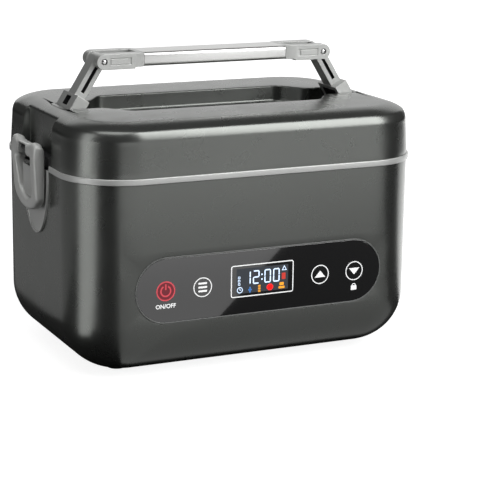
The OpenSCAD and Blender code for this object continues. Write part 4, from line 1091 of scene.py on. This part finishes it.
tray = pan(tray_low, tray_high, rim=7.0, corner=30.0, thick=1.0, fillet=9.0, curl=0.5)
place("steel_tray", tray.mesh("steel_tray", 50), "tray", tray_steel, ["food_tray"])
liner = pan(liner_low, liner_high, rim=8.0, corner=33.0, thick=0.8, fillet=8.0, curl=0.35)
place("heating_liner", liner.mesh("heating_liner", 50), "base", liner_metal, ["inner_liner"])

# %% [markdown]
# ## The feet
# A rubber foot is turned about its own middle: a flat face on the table, a round
# edge and a straight side up to the shell.

# %% The feet
FOOT_ROUND, FOOT_SUNK = 1.0, 0.4  # radius of a foot's edge, and how far it reaches into the shell


def turned_foot(x, y, radius, height):
    """A profile of (radius, height) points turned about a vertical axis."""
    edge = arc(radius - FOOT_ROUND, FOOT_ROUND, FOOT_ROUND, FOOT_ROUND, -90, 0, 6)
    profile = np.concatenate([straight((0.02, 0.0), (radius - 3, 0.0)), edge, straight((radius, height))])
    turn = np.radians(np.linspace(0, 360, 49)[:-1])
    px = x + profile[:, :1] * np.cos(turn)
    py = y + profile[:, :1] * np.sin(turn)
    return np.stack([px, py, np.broadcast_to(profile[:, 1:], px.shape)], -1)


for name in ("front_left", "front_right", "rear_left", "rear_right"):
    low, high = corners(f"foot_{name}")
    x, y = ((low + high) / 2)[:2]
    foot = Skin().grid(turned_foot(x, y, (high[0] - low[0]) / 2, FLOOR + FOOT_SUNK), caps="first last")
    place(f"rubber_foot_{name}", foot.mesh(f"rubber_foot_{name}"), "base", rubber, [f"foot_{name}"])

# %% [markdown]
# ## The control panel
# The panel is a glossy black lens in a hair-thin bezel. The lens is a stadium with a
# flat face: a flat face mirrors straight lines as straight lines, and the edge of
# its reflection is what makes it read as glass. The bezel is a thin ring with a
# round front.

# %% The lens and the bezel
LENS_SOFT, BEZEL_BACK = 0.15, 0.9
BEZEL_SECTION = ((0.0, None), (0.0, 0.2), (-0.06, 0.06), (-0.2, 0.0),
                 (-0.7, 0.0), (-0.84, 0.06), (-0.9, 0.2), (-0.9, None))  # growth, depth behind its front


def stadium_outline(length, height, steps=28):
    """Two half circles and the straight lines between them, at the panel's height."""
    half, r = length / 2 - height / 2, height / 2
    ends = [arc(half, 0, r, r, -90, 90, steps), arc(-half, 0, r, r, 90, 270, steps)]
    return np.concatenate(ends) + [PANEL_X, PANEL_Z]


LENS_FRONT = lens_low[1]
lens_size = (lens_high - lens_low)[[0, 2]]
lens = soft_prism(stadium_outline(*lens_size), 1, LENS_FRONT, lens_high[1], LENS_SOFT)
lens_mesh = Skin().grid(lens, caps="first last").mesh("panel_glass")
lens_piece = place("panel_glass", lens_mesh, "base", glass_black, ["touch_panel"])


def bezel_skin():
    """A ring between two stadiums with a round front, carried round as one grid."""
    rows = []
    for grow, depth in BEZEL_SECTION:
        y = LENS_FRONT + BEZEL_BACK if depth is None else panel_low[1] + depth
        rows.append(np.insert(stadium_outline(PANEL_L + 2 * grow, PANEL_H + 2 * grow), 1, y, axis=1))
    return Skin().grid(np.stack(rows), wrap_rows=True)


bezel_dark = moulded("bezel_trim", (0.16, 0.165, 0.16), 0.35)
place("bezel_ring", bezel_skin().mesh("bezel_ring"), "base", bezel_dark, ["panel_bezel"])

# %% [markdown]
# What the lens shows is printed or lit behind it. Here each sign is a very thin
# plate just proud of the lens, so that it stays crisp: rings and arrows as outlines,
# and the clock's digits as seven-segment bars. A sign glows a little in its colour.

# %% Signs on the panel
INK, UNDERLAY = 0.03, 0.01  # thickness of a printed sign, and of a plate under one


class Signs:
    """Collects thin plates on the lens, each a band between two outlines or a filled one."""

    def __init__(self, name, color, glow):
        finish = Finish(name, color, 0.45, Emission_Color=(*color, 1.0), Emission_Strength=glow)
        finish.vary_color(finish.noise(300.0), 0.04)
        self.name, self.material, self.skin = name, finish.material, Skin()

    def layer(self, outline, x, z, proud):
        """The outline, moved to (x, z) and lifted off the lens."""
        return np.insert(outline + [x, z], 1, LENS_FRONT - proud, axis=1)

    def fill(self, outline, x, z, thick=INK):
        """A plate with this outline."""
        rows = np.stack([self.layer(outline, x, z, 0.0), self.layer(outline, x, z, thick)])
        self.skin.grid(rows, caps="first last")
        return self

    def band(self, outer, inner, x, z):
        """A plate between two outlines."""
        rows = [self.layer(outer, x, z, 0.0), self.layer(outer, x, z, INK),
                self.layer(inner, x, z, INK), self.layer(inner, x, z, 0.0)]
        self.skin.grid(np.stack(rows), wrap_rows=True)
        return self

    def done(self):
        """Places all the plates so far as one piece."""
        place(self.name, self.skin.mesh(self.name), "base", self.material)


def swept_arc(radius, width, start, stop, steps=40):
    """A closed outline of a round stroke: out along one radius and back along the other."""
    return np.concatenate([arc(0, 0, radius + width / 2, radius + width / 2, start, stop, steps),
                           arc(0, 0, radius - width / 2, radius - width / 2, stop, start, steps)])


def bar(x0, z0, x1, z1, width):
    """A straight stroke with pointed ends, as a segment of a digit has."""
    a, b = np.array([x0, z0]), np.array([x1, z1])
    tip = (b - a) / np.linalg.norm(b - a) * width / 2
    side = np.array([-tip[1], tip[0]])
    return np.array([a, a + tip - side, b - tip - side, b, b - tip + side, a + tip + side])


# %% [markdown]
# Four keys sit under the lens. They are touch keys, so each is only a sign: a power
# sign in red, three bars for the mode, an arrow up and an arrow down, and a small
# lock below the last one.

# %% The signs of the keys
POWER_X, MODE_X, UP_X, DOWN_X = -68.5, -42.5, 43.5, 69.5
BUTTON_Z, BUTTON_R = PANEL_Z - 0.3, 6.6
LOCK_Z = BUTTON_Z - 11.2

dim_red = Signs("sign_power_glow", (0.13, 0.014, 0.022), 0.6)
dim_red.fill(ring_outline(BUTTON_R - 0.4, 64), POWER_X, BUTTON_Z, UNDERLAY)
dim_red.done()

red = Signs("sign_power", (0.60, 0.07, 0.09), 0.5)
red.band(ring_outline(BUTTON_R, 64), ring_outline(BUTTON_R - 0.85, 64), POWER_X, BUTTON_Z)
red.fill(swept_arc(3.4, 1.0, 118, 422), POWER_X, BUTTON_Z)
red.fill(bar(0, 0.6, 0, 4.9, 1.0), POWER_X, BUTTON_Z)
red.done()

white = Signs("sign_keys", (0.85, 0.86, 0.86), 0.55)
for x in (MODE_X, UP_X, DOWN_X):
    white.band(ring_outline(BUTTON_R, 64), ring_outline(BUTTON_R - 0.65, 64), x, BUTTON_Z)
for row in (-2.6, 0.0, 2.6):
    white.fill(rounded(3.1, 0.62, 0.3), MODE_X, BUTTON_Z + row)
for x, way in ((UP_X, 1), (DOWN_X, -1)):
    white.fill(np.array([[-4.0, -2.0 * way], [4.0, -2.0 * way], [0.0, 2.6 * way]])[::way], x, BUTTON_Z)
white.fill(rounded(2.1, 1.55, 0.3), DOWN_X, LOCK_Z - 0.6)
white.fill(swept_arc(1.3, 0.55, 0, 180, 16) + [0.0, 0.9], DOWN_X, LOCK_Z)

# %% [markdown]
# The display is a dark screen in a white frame. A digit is up to seven bars, each
# from one corner of a two-storey grid to the next. Small plain marks in colour stand
# round the clock, as the real display's warnings and levels do.

# %% The display
FRAME_X, FRAME_Z = 0.6, PANEL_Z + 0.9
white.band(rounded(22.9, 10.9, 1.7), rounded(22.2, 10.2, 1.0), FRAME_X, FRAME_Z)
white.done()

screen = Signs("sign_screen", (0.020, 0.024, 0.030), 0.9)
screen.fill(rounded(18.9, 8.4, 0.3), FRAME_X, FRAME_Z, UNDERLAY)
screen.done()

SEGMENTS = {"top": (0, 2, 1, 2), "upper right": (1, 2, 1, 1), "lower right": (1, 1, 1, 0),
            "bottom": (0, 0, 1, 0), "lower left": (0, 1, 0, 0), "upper left": (0, 2, 0, 1),
            "middle": (0, 1, 1, 1)}  # each bar's start and end in the grid
DIGITS = {"0": ["top", "upper right", "lower right", "bottom", "lower left", "upper left"],
          "1": ["upper right", "lower right"],
          "2": ["top", "upper right", "middle", "lower left", "bottom"]}
DIGIT_W, DIGIT_H, STROKE = 4.0, 4.2, 0.85

CLOCK_Z = FRAME_Z - 2.4
TIMER_X, TIMER_Z = FRAME_X - 16.4, FRAME_Z - 6.0

clock = Signs("sign_clock", (0.62, 0.76, 0.95), 1.0)
for x, figure in ((-13.0, "1"), (-6.6, "2"), (1.8, "0"), (8.2, "0")):
    for segment in DIGITS[figure]:
        x0, z0, x1, z1 = np.array(SEGMENTS[segment]) * [DIGIT_W, DIGIT_H, DIGIT_W, DIGIT_H]
        clock.fill(bar(x + x0, z0, x + x1, z1, STROKE), FRAME_X, CLOCK_Z)
for z in (2.4, 5.6):
    clock.fill(rounded(0.5, 0.5, 0.15), FRAME_X - 0.4, CLOCK_Z + z)
clock.band(ring_outline(2.1, 32), ring_outline(1.6, 32), TIMER_X, TIMER_Z)
clock.fill(bar(0, -0.2, 0, 1.4, 0.4), TIMER_X, TIMER_Z)
clock.fill(bar(-0.1, 0, 1.1, 0, 0.4), TIMER_X, TIMER_Z)
for z in (-2.0, 0.2, 2.4):
    clock.band(rounded(0.8, 0.8, 0.2), rounded(0.45, 0.45, 0.1), FRAME_X - 17.0, FRAME_Z + z)
triangle = np.array([[-1.9, -1.5], [1.9, -1.5], [0, 1.9]])
gap = np.array([[-1.1, -1.05], [1.1, -1.05], [0, 0.95]])
clock.band(triangle, gap, FRAME_X + 16.0, FRAME_Z + 6.0)
clock.done()

# %% [markdown]
# Each mark in colour is made of a few rounded rectangles: half width, half height,
# corner radius, and how far it sits above the mark's middle.

# %% The marks in colour
MARKS = (
    ("sign_blue", (0.05, 0.16, 0.4), -9.0, -6.4, [(0.5, 2.0, 0.3, 0), (1.3, 0.5, 0.2, 0)]),
    ("sign_amber", (0.6, 0.25, 0.02), -2.2, -6.2,
     [(0.9, 0.7, 0.3, -1.7), (0.9, 0.7, 0.3, 0), (0.9, 0.7, 0.3, 1.7)]),
    ("sign_red", (0.8, 0.02, 0.02), 5.6, -6.0, [(2.4, 1.4, 1.0, 0), (1.5, 2.2, 0.9, 0)]),
    ("sign_orange", (0.75, 0.3, 0.02), 14.2, -5.6, [(2.2, 0.8, 0.3, -1.4), (1.6, 1.0, 0.4, 1.0)]),
    ("sign_ember", (0.42, 0.03, 0.02), 15.6, 0.6, [(1.4, 2.2, 0.5, 0)]),
)
for name, color, x, z, shapes in MARKS:
    mark = Signs(name, color, 0.9)
    for half_x, half_z, radius, rise in shapes:
        mark.fill(rounded(half_x, half_z, radius) + [0, rise], FRAME_X + x, FRAME_Z + z)
    mark.done()

# %% [markdown]
# The power key has the plain words for on and off under it. Blender's own font gives
# their outlines, and the curve is made a mesh before it is put in its place.

# %% The words under the power key
WORD_SIZE, WORD_DROP = 3.9, 10.2
BOLDER = 0.025  # how far the letters' edges move out, as a share of their size


def words(name, text, size, x, z, material):
    """Generic lettering: a font curve, filled and barely thick, turned to face the front."""
    curve = bpy.data.curves.new("words", "FONT")
    curve.body, curve.size, curve.extrude = text, size * MM, 0.5 * INK * MM
    curve.align_x = curve.align_y = "CENTER"
    curve.resolution_u = 3
    curve.offset = BOLDER * size * MM
    source = bpy.data.objects.new("words_source", curve)
    bpy.context.scene.collection.objects.link(source)
    bpy.context.view_layer.update()
    mesh = bpy.data.meshes.new_from_object(source.evaluated_get(bpy.context.evaluated_depsgraph_get()))
    bpy.data.objects.remove(source)
    place_at = Matrix.Translation(Vector((x, LENS_FRONT - INK / 2, z)) * MM)
    mesh.transform(place_at @ Matrix.Rotation(math.radians(90), 4, "X"))
    return place(name, mesh, "base", material)


words("words_power", "ON/OFF", WORD_SIZE, POWER_X, BUTTON_Z - WORD_DROP, white.material)

# %% [markdown]
# ## Pieces that keep their CAD shape
# Screws, boards, cells and the other inner pieces have their real shape already.
# Each gets the finish of its own material. Loose triangles would shade a smooth
# gradient across flat faces, so they stay flat-shaded as they came.

# %% Finishes for the CAD nodes
SPECIAL = {"base_cover": black_plastic_and_shade}
for part in frame["record"]["subparts"]:
    finish = SPECIAL.get(part["node"], FINISH_OF_SLOT[part["material_slot"]])
    for slot in frame["nodes"][part["node"]].material_slots:
        slot.material = finish

# %% [markdown]
# ## The floor
# The picture is a product shot on white, so the camera sees a bright white floor.
# A glossy dark box would mirror that floor and turn pale. In a studio, the floor
# near the box is shaded with cards. Here the white floor is hidden from reflections,
# and a dark one just under it takes its place there.

# %% The floor
FLOOR_HALF, UNDER = 8000.0, -0.2


def stage_plate(name, outline, finish):
    """One flat face of the stage, through a few corner points in millimetres."""
    mesh = bpy.data.meshes.new(name)
    mesh.from_pydata((np.array(outline) * MM).tolist(), [], [tuple(range(len(outline)))])
    mesh.materials.append(finish.material)
    piece = bpy.data.objects.new(name, mesh)
    bpy.context.scene.collection.objects.link(piece)
    return piece


def floor_outline(half, z):
    """A square round the box."""
    return [(-half, -half, z), (half, -half, z), (half, half, z), (-half, half, z)]


white_floor = Finish("white_floor", (0.45, 0.45, 0.45), 0.9,
                     Emission_Color=(1, 1, 1, 1), Emission_Strength=0.88)
white_floor.vary_color(white_floor.noise(3.0), 0.01)
seen = stage_plate("studio_floor", floor_outline(FLOOR_HALF, 0.0), white_floor)
seen.visible_glossy = seen.visible_diffuse = False
grey_floor = Finish("grey_floor", (0.05, 0.05, 0.05), 0.9)
grey_floor.vary_color(grey_floor.noise(3.0), 0.01)
mirrored_floor = stage_plate("studio_bounce", floor_outline(FLOOR_HALF, UNDER), grey_floor)
mirrored_floor.visible_camera = False
print("floor:", 2 * FLOOR_HALF * MM, "m wide")

# %% [markdown]
# ## Reflector cards
# What a glossy box looks like is what it mirrors. Glowing cards lie on the floor
# where its faces look, unseen by the camera: two in front, whose common slanting
# edge draws the line across the panel, a wide far one, one on the left and two
# behind. The front ones grow brighter with distance, so that the front lightens
# towards its top. The lens is flagged off from the right and the far card.

# %% The cards
RAMP_NEAR, RAMP_FAR = -0.25, -0.95  # where a front card's tone starts and stops to rise, in metres


def card(name, near_tone, far_tone, *outline):
    """A glowing card. Its tone goes from near to far by a smooth step along Y."""
    finish = Finish(name, (0, 0, 0), 1.0, Emission_Color=(1, 1, 1, 1), Emission_Strength=1.0)
    forward = finish.node("ShaderNodeSeparateXYZ", {}, {0: finish.here()}, output=1)
    tones = {0: forward, 1: RAMP_NEAR, 2: RAMP_FAR, 3: near_tone, 4: far_tone}
    finish.feed("Emission Color",
                finish.node("ShaderNodeMapRange", {"interpolation_type": "SMOOTHSTEP"}, tones))
    piece = stage_plate(name, [(x, y, 1) for x, y in outline], finish)
    piece.visible_camera = piece.visible_diffuse = piece.visible_shadow = False
    print(f"{name}: tone {near_tone} to {far_tone}")
    return piece


card("front_left_card", 0.40, 1.25, (-92, -70), (-86, -70), (574, -900), (-470, -900))
front_right = card("front_right_card", 0.34, 1.25, (-86, -70), (150, -70), (1025, -900), (574, -900))
far = card("far_card", 1.25, 1.25, (-470, -900), (1025, -900), (1700, -3200), (-1100, -3200))
card("left_card", 1.6, 1.6, (-165, -76), (-165, -50), (-2400, 330), (-2400, -1300))
card("rear_left_card", 0.3, 0.3, (-150, 60), (-150, 900), (-900, 900), (-900, 120))
card("rear_right_card", 1.9, 1.9, (170, -10), (900, -60), (1400, 1400), (170, 1400))

flag = bpy.data.collections.new("flagged_from_lens")
flag.objects.link(lens_piece)
for entry in flag.collection_objects:
    entry.light_linking.link_state = "EXCLUDE"
for piece in (front_right, far):
    piece.light_linking.receiver_collection = flag

# %% [markdown]
# ## The lights
# Four soft panels light the box. One above the front draws the line along the lid's
# edge, one on the left draws the bright line down the round corner, one overhead
# fills the top, and a wide one behind makes the lid's top pale. A light's power
# follows from how bright its face is, so a panel can change its size and keep its
# reflection.

# %% The lights
def panel_light(name, place_at, look_at, width, height, radiance):
    """A rectangular soft light in millimetres that faces a point. Its power follows
    from its radiance: pi * area * radiance."""
    lamp = bpy.data.lights.new(name, "AREA")
    lamp.shape, lamp.size, lamp.size_y = "RECTANGLE", width * MM, height * MM
    lamp.energy = math.pi * lamp.size * lamp.size_y * radiance
    piece = bpy.data.objects.new(name, lamp)
    piece.location = Vector(place_at) * MM
    aim = (Vector(look_at) - Vector(place_at)).normalized()
    piece.rotation_euler = aim.to_track_quat("-Z", "Y").to_euler()
    piece.visible_camera = False
    bpy.context.scene.collection.objects.link(piece)
    print(f"{name}: {lamp.energy:.1f} W")


panel_light("front_softbox", (800, -1150, 1080), (0, -80, 165), 900, 1800, 5.5)
panel_light("left_strip", (-1200, -190, 450), (-120, -60, 120), 420, 900, 2.0)
panel_light("overhead", (-500, -500, 1700), (0, 0, 0), 1300, 1300, 2.0)
panel_light("rear_card", (950, 1900, 860), (0, 0, 170), 2300, 1720, 0.85)

world = bpy.data.worlds.new("studio")
world.use_nodes = True
bpy.context.scene.world = world
sky = world.node_tree.nodes["Background"]
sky.inputs["Color"].default_value = (1.0, 1.0, 1.0, 1.0)
sky.inputs["Strength"].default_value = 0.08

# %% [markdown]
# ## The camera
# The camera stands where the photograph was taken from. Its three angles, its
# distance, the point it looks at and its focal length come from matching edges of
# the box with the picture. A focal length in pixels becomes millimetres by the
# height of the sensor over the height of the picture.

# %% The camera
YAW, PITCH, ROLL = math.radians(25.562), math.radians(13.93), math.radians(0.848)
DISTANCE, AIM = 1242.54, Vector((29.256, 0.0, 61.98))
FOCAL_PIXELS, PICTURE_HEIGHT = 1748.71, 493

back = Vector((-math.sin(YAW) * math.cos(PITCH), -math.cos(YAW) * math.cos(PITCH), math.sin(PITCH)))
right = (-back).cross(Vector((0, 0, 1))).normalized()
up = right.cross(-back)
rolled_right = right * math.cos(ROLL) + up * math.sin(ROLL)
rolled_up = up * math.cos(ROLL) - right * math.sin(ROLL)

lens_data = bpy.data.cameras.new("photo_camera")
lens_data.sensor_fit = "VERTICAL"
lens_data.sensor_height = 36.0
lens_data.lens = FOCAL_PIXELS * lens_data.sensor_height / PICTURE_HEIGHT
lens_data.clip_start, lens_data.clip_end = 0.05, 50.0
camera = bpy.data.objects.new("photo_camera", lens_data)
turn = Matrix((rolled_right, rolled_up, back)).transposed().to_4x4()
camera.matrix_world = Matrix.Translation((AIM + back * DISTANCE) * MM) @ turn
bpy.context.scene.collection.objects.link(camera)
bpy.context.scene.camera = camera
bpy.context.scene.view_settings.view_transform = "Standard"  # keeps white white
print("camera at", [round(v, 3) for v in camera.matrix_world.translation])
